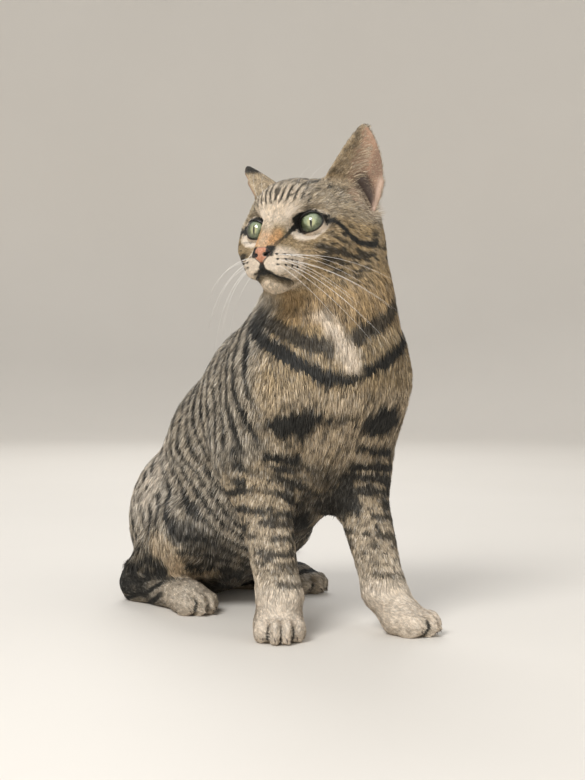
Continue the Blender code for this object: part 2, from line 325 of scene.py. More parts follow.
CORNEA_RADIUS = (LIMBUS**2 + (CORNEA_FRONT - LIMBUS_DEPTH) ** 2) / (2 * (CORNEA_FRONT - LIMBUS_DEPTH))
BALL_RADIUS = math.hypot(LIMBUS, LIMBUS_DEPTH)


def eye_front(aside):
    """How far forward the eye's surface is, at a distance from its axis."""
    dome = CORNEA_FRONT - CORNEA_RADIUS + np.sqrt(most(CORNEA_RADIUS**2 - aside**2, 0))
    ball = np.sqrt(most(BALL_RADIUS**2 - aside**2, 0)) - most(aside - BALL_RADIUS, 0)
    return np.where(aside < LIMBUS, dome, ball)


def mouth_height(across):
    """The closed mouth's height, at a distance from the middle."""
    return -38.0 - 4.4 * smooth(1, 12, across) + 1.5 * smooth(11, 16, across)


NOSE_TOP, NOSE_TALL = -21.2, 12.0
NOSE_HALF_WIDTHS = (3.0, 5.6, 6.9, 6.1, 3.4, 0.9)  # at even steps from its top down


def inside_nose(side):
    """How far points lie inside the nose leather's outline. It is under 0 outside."""
    share = (NOSE_TOP - side[:, 2]) / NOSE_TALL
    half = np.interp(share, np.linspace(0, 1, len(NOSE_HALF_WIDTHS)), NOSE_HALF_WIDTHS)
    ends = np.minimum(share, 1 - share) * NOSE_TALL
    return np.minimum(np.minimum(half - side[:, 0], ends), side[:, 1] - 27)


def nostril(side):
    """How far points lie from the middle of a nostril."""
    return np.hypot(side[:, 0] - 3.7, (side[:, 2] + 27.0) * 1.15)


# The skin's blank.


FLESH = [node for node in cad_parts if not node.startswith("eye_")]
# Each kind's depth of coat, length and width of tuft in millimetres, tufts for each square millimetre,
# and the degrees by which they rise from the skin.
KIND_SIZES = {
    "head": (1.2, 6.6, 0.38, 3.6, 19),
    "ear": (0.35, 2.8, 0.32, 3.6, 14),
    "neck": (2.1, 11.5, 0.52, 2.7, 23),
    "trunk": (1.6, 11.5, 0.57, 2.2, 25),
    "foreleg": (1.5, 7.0, 0.48, 2.9, 21),
    "forepaw": (0.8, 3.8, 0.40, 3.8, 16),
    "thigh": (1.6, 11.5, 0.57, 2.2, 26),
    "hindfoot": (0.9, 4.0, 0.40, 3.6, 16),
    "tail": (2.2, 10.0, 0.60, 2.4, 23),
}
DEPTH, LENGTH, WIDTH, DENSITY, LIFT = range(5)
KINDS = tuple(KIND_SIZES)


def kind_of(node):
    return "head" if node == "nose" else node.split("_")[0]


def grown_solids():
    """All solids in one set of arrays, each grown enough to close the gaps between them."""
    points, faces, count = [], [], 0
    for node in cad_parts:
        own, triangles = welded(*arrays_of(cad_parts[node].data))
        points.append(own + SEAM * normals_of(own, triangles))
        faces.append(triangles + count)
        count += len(own)
    return np.concatenate(points), np.concatenate(faces)


def near_face(points):
    """True near the eyes, nose and mouth."""
    front = HEAD.local(points) - (0, 22, -14)
    return np.linalg.norm(front / (1.35, 1.0, 1.35), axis=1) < 33


def near_rims(points):
    """True along the lids, on the nose, along the mouth and between the toes."""
    side = mirrored(points)
    across, forward, up = side.T
    chosen = (across < 10) & (np.abs(up + 29) < 9) & (forward > 26)
    chosen |= (np.abs(up - mouth_height(across)) < 2.2) & (forward > 11) & (across < 18)
    chosen |= toe_gaps(points) > 0.2
    for place in EYES.values():
        eye = place.local(points)
        chosen |= (np.abs(beyond_lid(eye)[0]) < 2.4) & (eye[:, 1] > -2)
    return chosen


def blank_skin():
    """The solids as one voxel mesh, thinned out on the body and finer on the face."""
    skin = new_piece("skin", *grown_solids())
    apply_modifier(skin, "REMESH", mode="VOXEL", voxel_size=VOXEL)
    points, faces = arrays_of(skin.data)
    local = HEAD.local(points)
    coarse = np.linalg.norm(local - (0, -22, 8), axis=1) > FACE_REACH
    for node in FLESH:
        if kind_of(node) in ("forepaw", "hindfoot"):
            low, high = box_of(node)
            coarse &= ~((points > low) & (points < high)).all(axis=1)
    group = skin.vertex_groups.new(name="coarse")
    group.add(np.flatnonzero(coarse).tolist(), 1.0, "REPLACE")
    share = 1.0 - (1.0 - BODY_SHARE) * coarse[faces].all(axis=1).mean()
    apply_modifier(skin, "DECIMATE", ratio=share, vertex_group="coarse")
    return refined(skin)


def refined(skin):
    """The skin's arrays after its face is divided once, and its rims once more."""
    mesh = bmesh.new()
    mesh.from_mesh(skin.data)
    bmesh.ops.triangulate(mesh, faces=mesh.faces)
    for near in (near_face, near_rims):
        chosen = near(np.array([vert.co for vert in mesh.verts]))
        edges = [e for e in mesh.edges if chosen[e.verts[0].index] and chosen[e.verts[1].index]]
        bmesh.ops.subdivide_edges(mesh, edges=edges, cuts=1, use_grid_fill=True)
        bmesh.ops.triangulate(mesh, faces=mesh.faces)
        mesh.verts.index_update()
    mesh.to_mesh(skin.data)
    mesh.free()
    arrays = arrays_of(skin.data)
    bpy.data.objects.remove(skin)
    return arrays


def kinds_at(points, edges):
    """How much each point belongs to each of KINDS, blended across their borders."""
    corners, faces, owners = [], [], []
    for node in FLESH:
        own, triangles = arrays_of(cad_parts[node].data)
        faces.append(triangles + sum(map(len, corners)))
        corners.append(own)
        owners += [KINDS.index(kind_of(node))] * len(triangles)
    tree = BVHTree.FromPolygons(np.concatenate(corners).tolist(), np.concatenate(faces).tolist())
    nearest = [tree.find_nearest(Vector(point))[2] for point in points]
    kinds = np.eye(len(KINDS))[np.array(owners)[nearest]]
    return relaxed(kinds, edges, BORDER_STEPS)


# The skin's shape.

FLOOR_ZONE = 0.007  # above the floor, where the skin thins less so that it still rests on it


def by_kind(kinds, column):
    return kinds @ np.array([sizes[column] for sizes in KIND_SIZES.values()])


def sunk(points, faces, kinds):
    """The points moved inwards by the coat's depth, which is least about the eyes and nose."""
    depth = by_kind(kinds, DEPTH)
    local = HEAD.local(points)
    face = np.linalg.norm(local - (0, 30, -20), axis=1)
    depth = np.minimum(depth, 0.7 + 2.6 * smooth(18, 62, face))
    moved = -normals_of(points, faces) * depth[:, None] * MM
    moved[:, 2] *= smooth(0, FLOOR_ZONE, points[:, 2])
    return points + moved


def with_lids(points, place):
    """The points with the opening sunk behind the eye, and the lids laid over its edge."""
    eye = place.local(points)
    beyond, angle = beyond_lid(eye)
    aside = np.hypot(eye[:, 0], eye[:, 2])
    near = (eye[:, 1] > -4) & (beyond < 7)
    surface = eye_front(aside)
    upper = smooth(-0.2, 0.6, np.sin(angle))
    lid = eye_front(np.minimum(aside, 10.4)) + LID + 0.35 * upper
    lid -= 0.7 * upper * groove(beyond - 3.0, 0.8)
    front = mixed(lid, eye[:, 1], smooth(0.8, 6.5, beyond))
    front = mixed(front, np.minimum(surface - 2.4, 4.0), smooth(0.0, -0.9, beyond))
    eye[:, 1] = np.where(near, front, eye[:, 1])
    return np.where(near[:, None], place.world(eye), points)


def with_muzzle(points, faces):
    """The points with nostrils, the groove under the nose, the closed mouth and whisker pads."""
    side = mirrored(points)
    across, forward, up = side.T
    front = smooth(24, 28, forward)
    slit = np.hypot(most(np.abs(across - 5.4) - 1.3, 0), up + 27.4 - 0.75 * (across - 4.2))
    sunk_by = front * (2.6 * groove(nostril(side), 1.4) + 1.5 * groove(slit, 0.7))
    sunk_by += 0.9 * front * groove(across, 0.7) * within(-41, -38, -32, -30.5, up)
    sunk_by += 0.35 * front * within(-1.6, -0.5, -0.5, 0.3, inside_nose(side))
    below = up - mouth_height(across)
    lips = smooth(12, 18, forward) * smooth(15.5, 12, across)
    sunk_by += lips * (1.3 * groove(below, 0.9) + within(-10, -3, -1.2, 0, below))
    sunk_by -= 0.7 * lips * groove(below - 2.6, 1.9)
    return points - normals_of(points, faces) * sunk_by[:, None] * MM


def skin_shape():
    """The skin's points, faces and edges, and how much each point belongs to each kind."""
    points, faces = blank_skin()
    edges = edges_of(faces)
    points = without_facets(points, edges, SMOOTHING_STEPS)
    kinds = kinds_at(points, edges)
    points = sunk(points, faces, kinds)
    for place in EYES.values():
        points = with_lids(points, place)
    points = with_muzzle(points, faces)
    sunk_by = TOE_GAP_DEPTH * toe_gaps(points) + HOLLOW_DEPTH * in_ear(points, EAR_HOLLOW, 4.5)
    sunk_by -= FOLD_HEIGHT * in_ear(points, EAR_FOLD, 2.4)
    points = points - normals_of(points, faces) * (sunk_by * MM)[:, None]
    points[:, 2] = most(points[:, 2], 0.0)
    return points, faces, edges, kinds


# Markings, with some painted shade and shadow: how dark, pale and warm the coat is, as shares.

SPINE = np.array(  # from the withers to the rump
    [(0, -205, 262), (0, -160, 205), (0, -92, 140), (0, -32, 84), (0, 20, 40)], float
)


def along_path(points, path):
    """How far along a path each point lies, and how far from it, in the path's own units."""
    best = np.full(len(points), np.inf)
    place = np.zeros(len(points))
    start = 0.0
    for first, last in zip(path, path[1:]):
        step = last - first
        length = np.linalg.norm(step)
        share = np.clip((points - first) @ step / length**2, 0, 1)
        away = np.linalg.norm(points - first - share[:, None] * step, axis=1)
        place = np.where(away < best, start + share * length, place)
        best = np.minimum(best, away)
        start += length
    return place, best


def hashed(cells):
    """Even random numbers from whole-number coordinates."""
    mixed_up = cells[..., 0] * 73856093 ^ cells[..., 1] * 19349663 ^ cells[..., 2] * 83492791
    return ((mixed_up * 2654435761 >> 8) & 0xFFFF) / 65535.0


def grain(points, size):
    """Smooth noise from -1 to 1, whose lumps are about a size apart."""
    scaled = points / size
    corner = np.floor(scaled).astype(np.int64)
    share = scaled - corner
    share = share * share * (3 - 2 * share)
    total = np.zeros(len(points))
    for step in itertools.product((0, 1), repeat=3):
        total += np.abs(np.subtract(1, step) - share).prod(axis=1) * hashed(corner + step)
    return 2 * total - 1


def bands(place, period, points, wander=0.35, share=0.1):
    """Dark bands, one for each period of a place, that wander and vary in width."""
    phase = place / period + wander * grain(points, 26) + 0.12 * grain(points + 50, 9)
    return smooth(-share, 0.75, np.sin(2 * math.pi * phase) + 0.35 * grain(points + 90, 11))


LEG_AXES = ((-50, -207), (36, -221))  # each foreleg's place across the floor, in millimetres
NECK_AXIS = -195  # how far forward the necklaces' middle is
FIRST_BAR, BAR_STEP, BARS = 132, 10.2, 10  # the top bar's height on a foreleg, the step down, and how many
LEGS_MIDDLE = -8  # how far left the middle between the forelegs is
# Each dark band round the neck: its lowest height, the degrees from straight ahead at which that lies, its
# bend there, its rise for each degree to the right and the left, half its width and its strength.
NECKLACES = (
    (181, -18, 7, 0.66, 0.53, 4.0, 0.95),
    (206, -27, 5, 0.50, 0.50, 4.6, 0.75),
)
# Each dark line of the cheek: its lowest height, how far forward that is, its bend before and behind it,
# half its width, its strength and how far forward its ends are.
CHEEK_LINES = (
    (-12.5, -32, 0.0145, 0.0050, 1.9, 0.95, (5, -48)),
    (-16.0, -22, 0.0090, 0.0090, 1.1, 0.50, (6, -18)),
    (-23.5, -22, 0.0050, 0.0090, 1.5, 0.75, (9, -44)),
    (-39.5, -34, 0.0110, 0.0110, 1.5, 0.45, (-3, -32)),
)
TEAR_LINE = np.array([(10.5, 6, -1.5), (8.5, 33, -20)])  # from an eye's inner corner down beside the nose
OUTER_CORNER = np.array([(7, 4, 1.6), (16, -4, 1.4)])  # the dark line from it, in the eye's directions
WHISKER_ROWS = [  # each row of whiskers' roots on the left pad, in the head's directions
    [(13 + 1.8 * i, 36 - 5.8 * i, -27 - 4 * row) for i in range(3 + (row > 0))] for row in range(3)
]
WHISKER_WAY = (0.8, 0.6, 0)  # out from the pad


def drawn(away, half_width, spots, roughness, fray=0.22):
    """How dark a ragged line is at each spot, which lies away from its middle."""
    ragged = 1 + 0.35 * grain(spots + 5, roughness) + 0.2 * grain(spots + 31, 0.4 * roughness)
    ragged += fray * grain(spots * (1.0, 1.0, 0.3) + 9, 0.4 * roughness)
    return smooth(1.7 * half_width, 0.8 * half_width, np.abs(away) * ragged)


def necklaces(spot):
    """The two dark bands round the front of the neck, lowest a little to its right."""
    x, y, z = spot.T
    angle = np.degrees(np.arctan2(x, NECK_AXIS - y))
    dark = np.zeros(len(spot))
    for lowest, middle, bend, right_rise, left_rise, half_width, strength in NECKLACES:
        rise = np.where(angle < middle, right_rise, left_rise)
        height = lowest + np.hypot(bend, rise * (angle - middle))
        dark = most(dark, strength * drawn(0.87 * (z - height), half_width, spot, 7.0))
    return dark * smooth(108, 92, np.abs(angle)) * smooth(-178, -205, y)


def leg_bars(spot):
    """Broken bars across each foreleg, finer towards the foot, and the dark inside of the left, partly
    painted shade between the forelegs.
    """
    x, y, z = spot.T
    left = x > LEGS_MIDDLE
    beside = x - np.where(left, LEG_AXES[1][0], LEG_AXES[0][0])
    dark = np.zeros(len(spot))
    for number in range(BARS):
        height = FIRST_BAR - BAR_STEP * number + 1.8 * np.sin(2.6 * number + 1.5 * left) - 0.12 * beside
        bar = drawn(z - height, 3.0 - 0.14 * number, spot + 40 * number, 6.0)
        broken = smooth(-0.35, 0.10, grain(spot * (1, 1, 0.4) + 60 * number, 12))
        dark = most(dark, (0.92 - 0.04 * number) * bar * broken)
    # The dark inside of the left foreleg: partly dark fur, partly painted shade between the forelegs.
    inside = drawn(np.hypot(x - 15, 0.4 * (z - 98)), 7.0, spot, 6.0)
    return most(dark * smooth(28, 20, np.abs(beside)), 0.85 * inside) * smooth(-178, -192, y)


def hocks(spot):
    """The dark of each hind leg's heel."""
    x, y, z = spot.T
    low = smooth(50, 40, z + 5 * grain(spot, 9)) * mixed(0.45, 1.0, bands(z + 0.4 * y, 11.0, spot))
    return 0.95 * low * within(-84, -66, -6, 8, y) * smooth(46, 56, np.abs(x))


def cheek_lines(side):
    """The dark lines that run back over the cheek from the eye and below it."""
    across, forward, up = side.T
    dark = np.zeros(len(side))
    for lowest, place, bend, bend_behind, half_width, strength, (first, last) in CHEEK_LINES:
        step = forward - place
        curve = np.where(step > 0, bend, bend_behind)
        away = (up - lowest - curve * step**2) / np.hypot(1, 2 * curve * step)
        ends = smooth(first + 2, first - 2, forward) * smooth(last - 3, last + 3, forward)
        dark = most(dark, strength * ends * drawn(away, half_width, side, 3.0, 0.1))
    return dark * smooth(26, 29, across)


def forehead_lines(side):
    """The fine upright lines of the forehead, and the wider ones that go on over the crown."""
    across, forward, up = side.T
    fan = across / (1 + 0.012 * (up - 18))
    front = bands(fan + 1.2, 4.8, side, wander=0.3, share=-0.1) * within(14, 19, 28, 32, up)
    front = front * smooth(24, 19, across) * smooth(-2, 2, forward) * smooth(-0.4, 0.3, grain(side + 70, 9))
    crown = bands(across + 2.25, 9.0, side, wander=0.3, share=-0.1) * smooth(23, 27, up)
    crown = crown * within(-44, -38, 0, 4, forward) * smooth(24, 21, across)
    return most(0.75 * front, 0.55 * crown)


def eye_marks(points, side):
    """The dark round the eyes, and the pale ring outside it."""
    dark, pale = np.zeros((2, len(points)))
    for place in EYES.values():
        eye = place.local(points)
        beyond, angle = beyond_lid(eye)
        front = smooth(-6, -2, eye[:, 1])
        lower = smooth(0.5, -0.4, np.sin(angle))
        ring = front * smooth(0.2, 1.0, beyond) * (0.45 + 0.55 * lower)
        ring = ring * smooth(4.5 + 3.5 * lower, 2.0 + 2.5 * lower, beyond + 0.8 * grain(side, 3))
        above, inwards = smooth(0.0, 0.7, np.sin(angle)), smooth(0.9, -0.9, np.cos(angle))
        reach = 0.2 + above * (1.7 + 2.2 * inwards) + 1.4 * smooth(-0.6, -1.0, np.cos(angle))
        _, away = along_path(eye, OUTER_CORNER)
        dark = most(dark, front * most(smooth(reach + 0.7, reach, beyond), smooth(2.0, 1.0, away)))
        pale = most(pale, ring)
    return dark, pale


def nose_and_mouth_marks(side):
    """The dark of the lips, with painted shadow under the upper lip, of the groove over them and of the
    nose's wings.
    """
    across, forward, up = side.T
    above = up - mouth_height(across)
    # The lip's dark reaches further below the mouth's line than above it: black lips, and painted shadow
    # under the upper lip.
    line = np.where(above > 0, 2.2 * above, -above) * (1 + 0.35 * grain(side, 2.5))
    lip = smooth(5.2 - 0.22 * across, 0.6, line) * smooth(12, 17, forward) * smooth(15.5, 12, across)
    middle = smooth(0, -6, up + 31)  # 0 at the nose's lower edge and 1 near the mouth
    cleft = smooth(1.7 + 1.6 * middle, 0.8 + 1.0 * middle, across * (1 + 0.25 * grain(side, 2)))
    cleft = cleft * within(-43, -40, -32, -30.5, up)
    wing = within(3.0, 4.2, 8.4, 10, across) * within(-29.5, -27.5, -21, -19, up)
    return most(0.97 * lip, most(cleft, 0.9 * wing) * smooth(24, 28, forward))


def whisker_marks(side):
    """The dark spots at the whiskers' roots, and the faint line that joins each row."""
    across, forward, up = side.T
    dark = np.zeros(len(side))
    for row in WHISKER_ROWS:
        for root in row:
            offset = side - root
            away = np.hypot(offset @ (-WHISKER_WAY[1], WHISKER_WAY[0], 0), 1.3 * offset[:, 2])
            dark = most(dark, smooth(1.4, 0.7, away) * smooth(9, 6, np.abs(offset @ WHISKER_WAY)))
        joined = smooth(1.3, 0.3, np.abs(up - row[0][2])) * within(11, 14, 18, 21, across)
        dark = most(dark, 0.35 * joined * smooth(12, 18, forward))
    return dark


def head_marks(points):
    """(dark, pale, warm) of the head."""
    side = mirrored(points)
    across, forward, up = side.T
    eyes, ring = eye_marks(points, side)
    crown = smooth(18, 30, up) * smooth(8, -6, forward)
    speckle = smooth(0.0, 0.5, grain(side * (1.9, 0.55, 0.6), 3))
    flecks = smooth(0.1, 0.45, grain(side * (1.6, 0.4, 0.45) + 21, 2.2))
    temples = smooth(11, 17, up) * smooth(34, 24, across) * smooth(-8, 2, forward)
    cheek = smooth(24, 34, across) * smooth(14, 2, forward) * smooth(6, -6, up)
    streaked = smooth(-0.05, 0.4, grain(side * (1, 0.45, 1.9) + 40, 4))
    speckled = most(0.72 * crown * speckle, 0.65 * temples * flecks, 0.75 * cheek * streaked)
    uneven = side + 0.8 * grain(points * 1000, 7)[:, None]
    place, away = along_path(side, TEAR_LINE)
    tear = (1 - 0.015 * place) * drawn(away, 1.9 - 0.034 * place, side, 3.0, 0.1)
    lined = most(cheek_lines(uneven), forehead_lines(uneven), eyes, tear)
    above_mouth = up - mouth_height(across)
    muzzle = smooth(16, 9, np.hypot(across - 8, (up + 31.5) * 1.05)) * smooth(4, 16, forward)
    muzzle = muzzle * (0.25 + 0.75 * smooth(-0.4, 0.8, above_mouth))
    # The chin is painted darker as painted shade, deepest in the painted shadow just under the mouth; its
    # pale fur shows only outside that shadow.
    chin = smooth(0.5, -0.5, above_mouth) * smooth(-20, 10, forward) * smooth(24, 12, across)
    shadow = smooth(-8, -2, above_mouth) * smooth(4, 16, forward)
    under_chin = 0.55 * chin * (1 - shadow) * smooth(-4, 6, forward)
    bridge = smooth(6, 3, across) * smooth(12, 22, forward) * smooth(-24, -18, up)
    forehead = smooth(26, 14, across) * smooth(-14, 4, forward) * within(-8, 2, 22, 44, up)
    brow = smooth(9, 4, np.hypot(across - 13, up - 8)) * smooth(-6, 2, forward)
    ochre = smooth(14, 8, across) * smooth(10, 22, forward) * within(-24, -20, -12, 6, up)
    ochre = ochre * (0.92 + 0.16 * grain(side, 5)) * (1 - 0.12 * smooth(5, 0, across))
    warm = most(ochre, 0.6 * smooth(14, 0, up), 0.6 * forehead, 0.30) * (1 - 0.5 * ring)
    pale = most(0.80 * muzzle, under_chin, 0.50 * bridge, 0.58 * forehead, 0.80 * brow)
    pale = most(pale * (1 - 0.6 * ochre), 0.95 * ring)
    dark = most(speckled * (1 - 0.85 * ring), lined, nose_and_mouth_marks(side))
    # Painted shade on the chin, and painted shadow under the mouth.
    dark = most(dark, chin * (0.08 + 0.60 * shadow), 0.92 * whisker_marks(side))
    return columns(dark, pale * (1 - 0.9 * dark), warm)


def ear_tips():
    """The highest point of each ear."""
    solids = [arrays_of(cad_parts[node].data)[0] for node in ("ear_left", "ear_right")]
    return [points[HEAD.local(points)[:, 2].argmax()] for points in solids]


EAR_TIPS = ear_tips()


def ear_marks(points):
    """(dark, pale, warm) of the ears: dark tips and bases at the back, pale between."""
    across, _, high = HEAD.local(points).T
    left = across > 0
    away = np.minimum(*(np.linalg.norm(points - tip, axis=1) for tip in EAR_TIPS)) / MM
    tip = np.where(left, 0.35, 0.85) * smooth(15, 7, away)
    base = 0.60 * smooth(38, 28, high) * smooth(14, 22, away)
    dark = most(tip, base, np.where(left, 0.45, 0.25) * smooth(0.0, 0.5, grain(points, 0.0035)))
    return columns(dark, 0.10 * (1 - dark), 0.50)


def body_marks(points):
    """(dark, pale, warm) of the neck, trunk and thighs."""
    spot = points * 1000
    x, y, z = spot.T
    place, _ = along_path(spot, SPINE)
    back = smooth(-45, 15, z - np.interp(y, (-205, -92, 20), (262, 140, 60)))
    upright = 305 + 0.95 * y - 0.30 * z  # bands that hang down the flank, and slant on the hip
    flank = mixed(bands(upright, 15.0, spot, wander=0.3), bands(place, 12.5, spot), smooth(150, 105, z))
    flank = flank * (1 - 0.8 * smooth(225, 255, z))
    hip = smooth(-80, -45, y) * within(52, 80, 125, 155, z)
    broken = smooth(-0.2, 0.3, grain(spot * (1, 1, 0.7) + 7, 6))
    dark = flank * mixed(0.80 + 0.15 * broken, 0.95 * broken, most(hip, smooth(-70, -30, y)))
    back = back * smooth(9, 3, np.abs(x + 2.5 * grain(spot, 18))) * smooth(-190, -160, y)
    ticks = smooth(0.1, 0.5, grain(spot * (1, 1, 0.5) + 33, 3.5))
    dark = most(dark, 0.4 * ticks, 0.85 * back * (0.7 + 0.3 * broken))
    front = smooth(-190, -212, y + 0.25 * np.abs(x)) * smooth(330, 300, z)
    streaks = smooth(0.05, 0.5, grain(spot * (1, 1, 0.40) + 77, 3.6))
    ticked = streaks * (0.60 * smooth(186, 172, z) + 0.40 * smooth(180, 200, z))
    # Under the chest between the forelegs the coat is darker: partly dark fur, partly painted shade between
    # the legs.
    under = smooth(140, 112, z) * smooth(34, 18, np.abs(x + 10) * (1 + 0.2 * grain(spot, 9)))
    dark = mixed(dark, most(ticked, under * (0.72 + 0.25 * streaks)), front)
    # Dark patches where the forelegs meet the chest: partly dark fur, partly painted shade.
    armpits = drawn(np.hypot(0.5 * (np.abs(x + 7) - 34), z - 156), 8.5, spot, 7.0) * smooth(-186, -200, y)
    # Low on the belly and under the chest behind the forelegs the coat is darker: partly dark fur, partly
    # painted shade under the body.
    belly = smooth(70, 25, z) * smooth(-190, -120, y) * smooth(0, -40, y)
    belly = most(belly, smooth(122, 92, z) * smooth(50, 34, np.abs(x)) * smooth(-120, -165, y))
    knee = 0.70 * drawn(z - 54 + 0.45 * (x + 44), 9.0, spot, 8.0) * smooth(-12, -24, x)
    knee = knee * within(-126, -114, -96, -84, y)
    dark = most(dark, necklaces(spot), leg_bars(spot), hocks(spot), 0.95 * armpits)
    dark = most(dark, belly * (0.65 + 0.3 * broken), knee)
    over_toes = drawn(z - 24 + 1.15 * np.minimum(x + 48, 0), 5.5, spot, 5.0) * smooth(-18, -26, x)
    over_toes = over_toes * within(-100, -90, -74, -64, y)  # the pale wedge in front of the right knee
    away = np.hypot(x + 7 + 0.4 * (z - 192), most(z - 232, 0)) + 20 * smooth(-228, -212, y)
    away = away * (1 + 0.5 * grain(spot * (1, 1, 0.5) + 60, 5))
    patch = smooth(10 + 4 * smooth(212, 200, z), 2, away) * smooth(187, 194, z)
    # Under the chin the throat's fur is painted darker for the shadow that falls there, and is also warmer.
    throat = front * smooth(214, 232, z)
    dark = most(dark * (1 - 0.75 * over_toes) * (1 - 0.75 * patch), throat * (0.12 + 0.3 * streaks))
    pale = most(0.75 * patch, 0.20 * front * smooth(190, 170, z), 0.10 * (1 - front), 0.35 * over_toes)
    pale = most(pale, hip * (0.52 + 0.3 * grain(spot * (1, 1, 0.6) + 15, 6)))
    warm = 0.12 + 0.42 * front + 0.16 * throat + 0.2 * belly + 0.4 * over_toes - 0.12 * hip
    return columns(dark, pale * (1 - 0.8 * dark), np.clip(warm, 0, 0.68))


def leg_marks(points):
    """(dark, pale, warm) of the legs and feet: broken bars that fade towards cream feet."""
    spot = points * 1000
    x, y, z = spot.T
    axis = np.where(x[:, None] < LEGS_MIDDLE, LEG_AXES[0], LEG_AXES[1])
    behind = (spot[:, :2] - axis) @ (0.54, 0.84)
    barred = bands(z + 0.25 * x, 14.5, spot, wander=0.3) * 0.85 * smooth(-7, 3, behind) * smooth(16, 40, z)
    dashes = smooth(0.25, 0.6, grain(spot * (0.6, 0.6, 1.8) + 3, 4.5)) * within(28, 60, 110, 170, z)
    # The forelegs' inner sides are darker: partly dark fur, partly painted shade between the legs.
    inner = smooth(-10, 6, x + 30) * (x < 0) + smooth(20, 8, x) * (x >= 0)
    inner = inner * smooth(50, 80, z) * smooth(-228, -215, y)
    heel = smooth(-70, -45, y) * smooth(-0.9, -0.1, grain(spot + 12, 12))
    dark = most(barred, leg_bars(spot), hocks(spot), 0.75 * dashes, 0.35 * inner)
    dark = most(dark, 0.85 * heel * smooth(2, 8, z), 0.95 * toe_gaps(points) * smooth(17, 9, z))
    pale = 0.06 + 0.16 * smooth(110, 60, z) + 0.50 * smooth(50, 22, z) * (1 - heel)
    pale = pale * (1 - 0.45 * smooth(-190, -150, y))
    return columns(dark, pale * (1 - dark), 0.42 - 0.2 * smooth(60, 20, z))


def tail_marks(points):
    """(dark, pale, warm) of the tail: rings, a dark top and a dark tip."""
    spot = points * 1000
    around = np.degrees(np.arctan2(spot[:, 1] - 20, spot[:, 0] + 60))
    rings = bands(around * 2.6, 21.0, spot, wander=0.12, share=0.2)
    dark = most(0.9 * rings, 0.75 * smooth(18, 26, spot[:, 2]), smooth(150, 175, spot[:, 0]))
    return columns(dark, 0.12 * (1 - dark), 0.35)


def fur_edge(height):
    """How far left the fur of the left ear's front edge reaches: least a third of the way up."""
    return 31 + np.hypot(1.5, 0.5 * (height - 40))


MARKS = {
    head_marks: ("head",),
    ear_marks: ("ear",),
    body_marks: ("neck", "trunk", "thigh"),
    leg_marks: ("foreleg", "forepaw", "hindfoot"),
    tail_marks: ("tail",),
}


def marks_at(points, kinds):
    """(dark, pale, warm) of skin or coat at each point, blended where kinds meet."""
    total = np.zeros((len(points), 3))
    for marks, names in MARKS.items():
        share = sum(kinds[:, KINDS.index(name)] for name in names)
        inside = np.flatnonzero(share > 0.002)
        total[inside] += share[inside, None] * marks(points[inside])
    return np.clip(total, 0, 1)


# Materials.


class Shading:
    """A material, with short calls that add a node, link it and give its output."""

    def __init__(self, name):
        self.material = bpy.data.materials.new(name)
        self.material.use_nodes = True
        self.tree = self.material.node_tree
        self.shader = self.tree.nodes["Principled BSDF"]

    def put(self, socket, value):
        if isinstance(value, bpy.types.NodeSocket):
            self.tree.links.new(value, socket)
        elif socket.type == "RGBA":
            socket.default_value = (*value, 1)
        else:
            socket.default_value = value

    def node(self, kind, inputs=(), output=0, **settings):
        made = self.tree.nodes.new(kind)
        for key, value in settings.items():
            setattr(made, key, value)
        for key, value in dict(inputs).items():
            self.put(made.inputs[key], value)
        return made.outputs[output]

    def attribute(self, name):
        """The three numbers that each vertex carries under a name."""
        made = self.node("ShaderNodeAttribute", attribute_name=name, output="Vector")
        return tuple(self.node("ShaderNodeSeparateXYZ", {0: made}).node.outputs)

    def maths(self, operation, *values, clamped=False):
        return self.node("ShaderNodeMath", enumerate(values), operation=operation, use_clamp=clamped)

    def times(self, *values):
        return functools.reduce(functools.partial(self.maths, "MULTIPLY"), values)

    def between(self, low, high, value):
        inputs = {"Value": value, "From Min": low, "From Max": high}
        return self.node("ShaderNodeMapRange", inputs, interpolation_type="SMOOTHSTEP")

    def blend(self, share, first, second, way="MIX"):
        inputs = {0: share, 6: first, 7: second}
        return self.node("ShaderNodeMix", inputs, 2, data_type="RGBA", blend_type=way)

    def noise(self, scale, detail=3.0, place=None):
        place = place or self.node("ShaderNodeTexCoord", output="Object")
        inputs = {"Vector": place, "Scale": scale, "Detail": detail}
        return self.node("ShaderNodeTexNoise", inputs)

    def bump(self, height, distance, strength=1.0):
        inputs = {"Height": height, "Distance": distance, "Strength": strength}
        self.put(self.shader.inputs["Normal"], self.node("ShaderNodeBump", inputs))

    def finished(self, **inputs):
        for key, value in inputs.items():
            self.put(self.shader.inputs[key.replace("_", " ")], value)
        return self.material


GREY = (0.37, 0.33, 0.265)
WARM = (0.40, 0.285, 0.145)
OCHRE = (0.62, 0.36, 0.165)
PALE = (0.84, 0.73, 0.60)
FROST = (0.80, 0.76, 0.69)
DARK = (0.020, 0.019, 0.016)
EAR_SKIN = (0.43, 0.27, 0.185)
LEATHER = (0.43, 0.175, 0.09)


def coat_colour(shading, marks):
    """The colour of fur from its marks, with finer variation."""
    dark, pale, warm = marks
    blend, between = shading.blend, shading.between
    hue = shading.maths("MULTIPLY_ADD", shading.noise(55.0, 2.0), 0.5, -0.25)
    warmth = shading.maths("ADD", shading.times(warm, 1.5), hue, clamped=True)
    colour = blend(warmth, GREY, WARM)
    colour = blend(between(0.6, 0.95, warm), colour, OCHRE)
    colour = blend(pale, colour, PALE)
    return blend(between(0.02, 0.94, dark), colour, DARK)


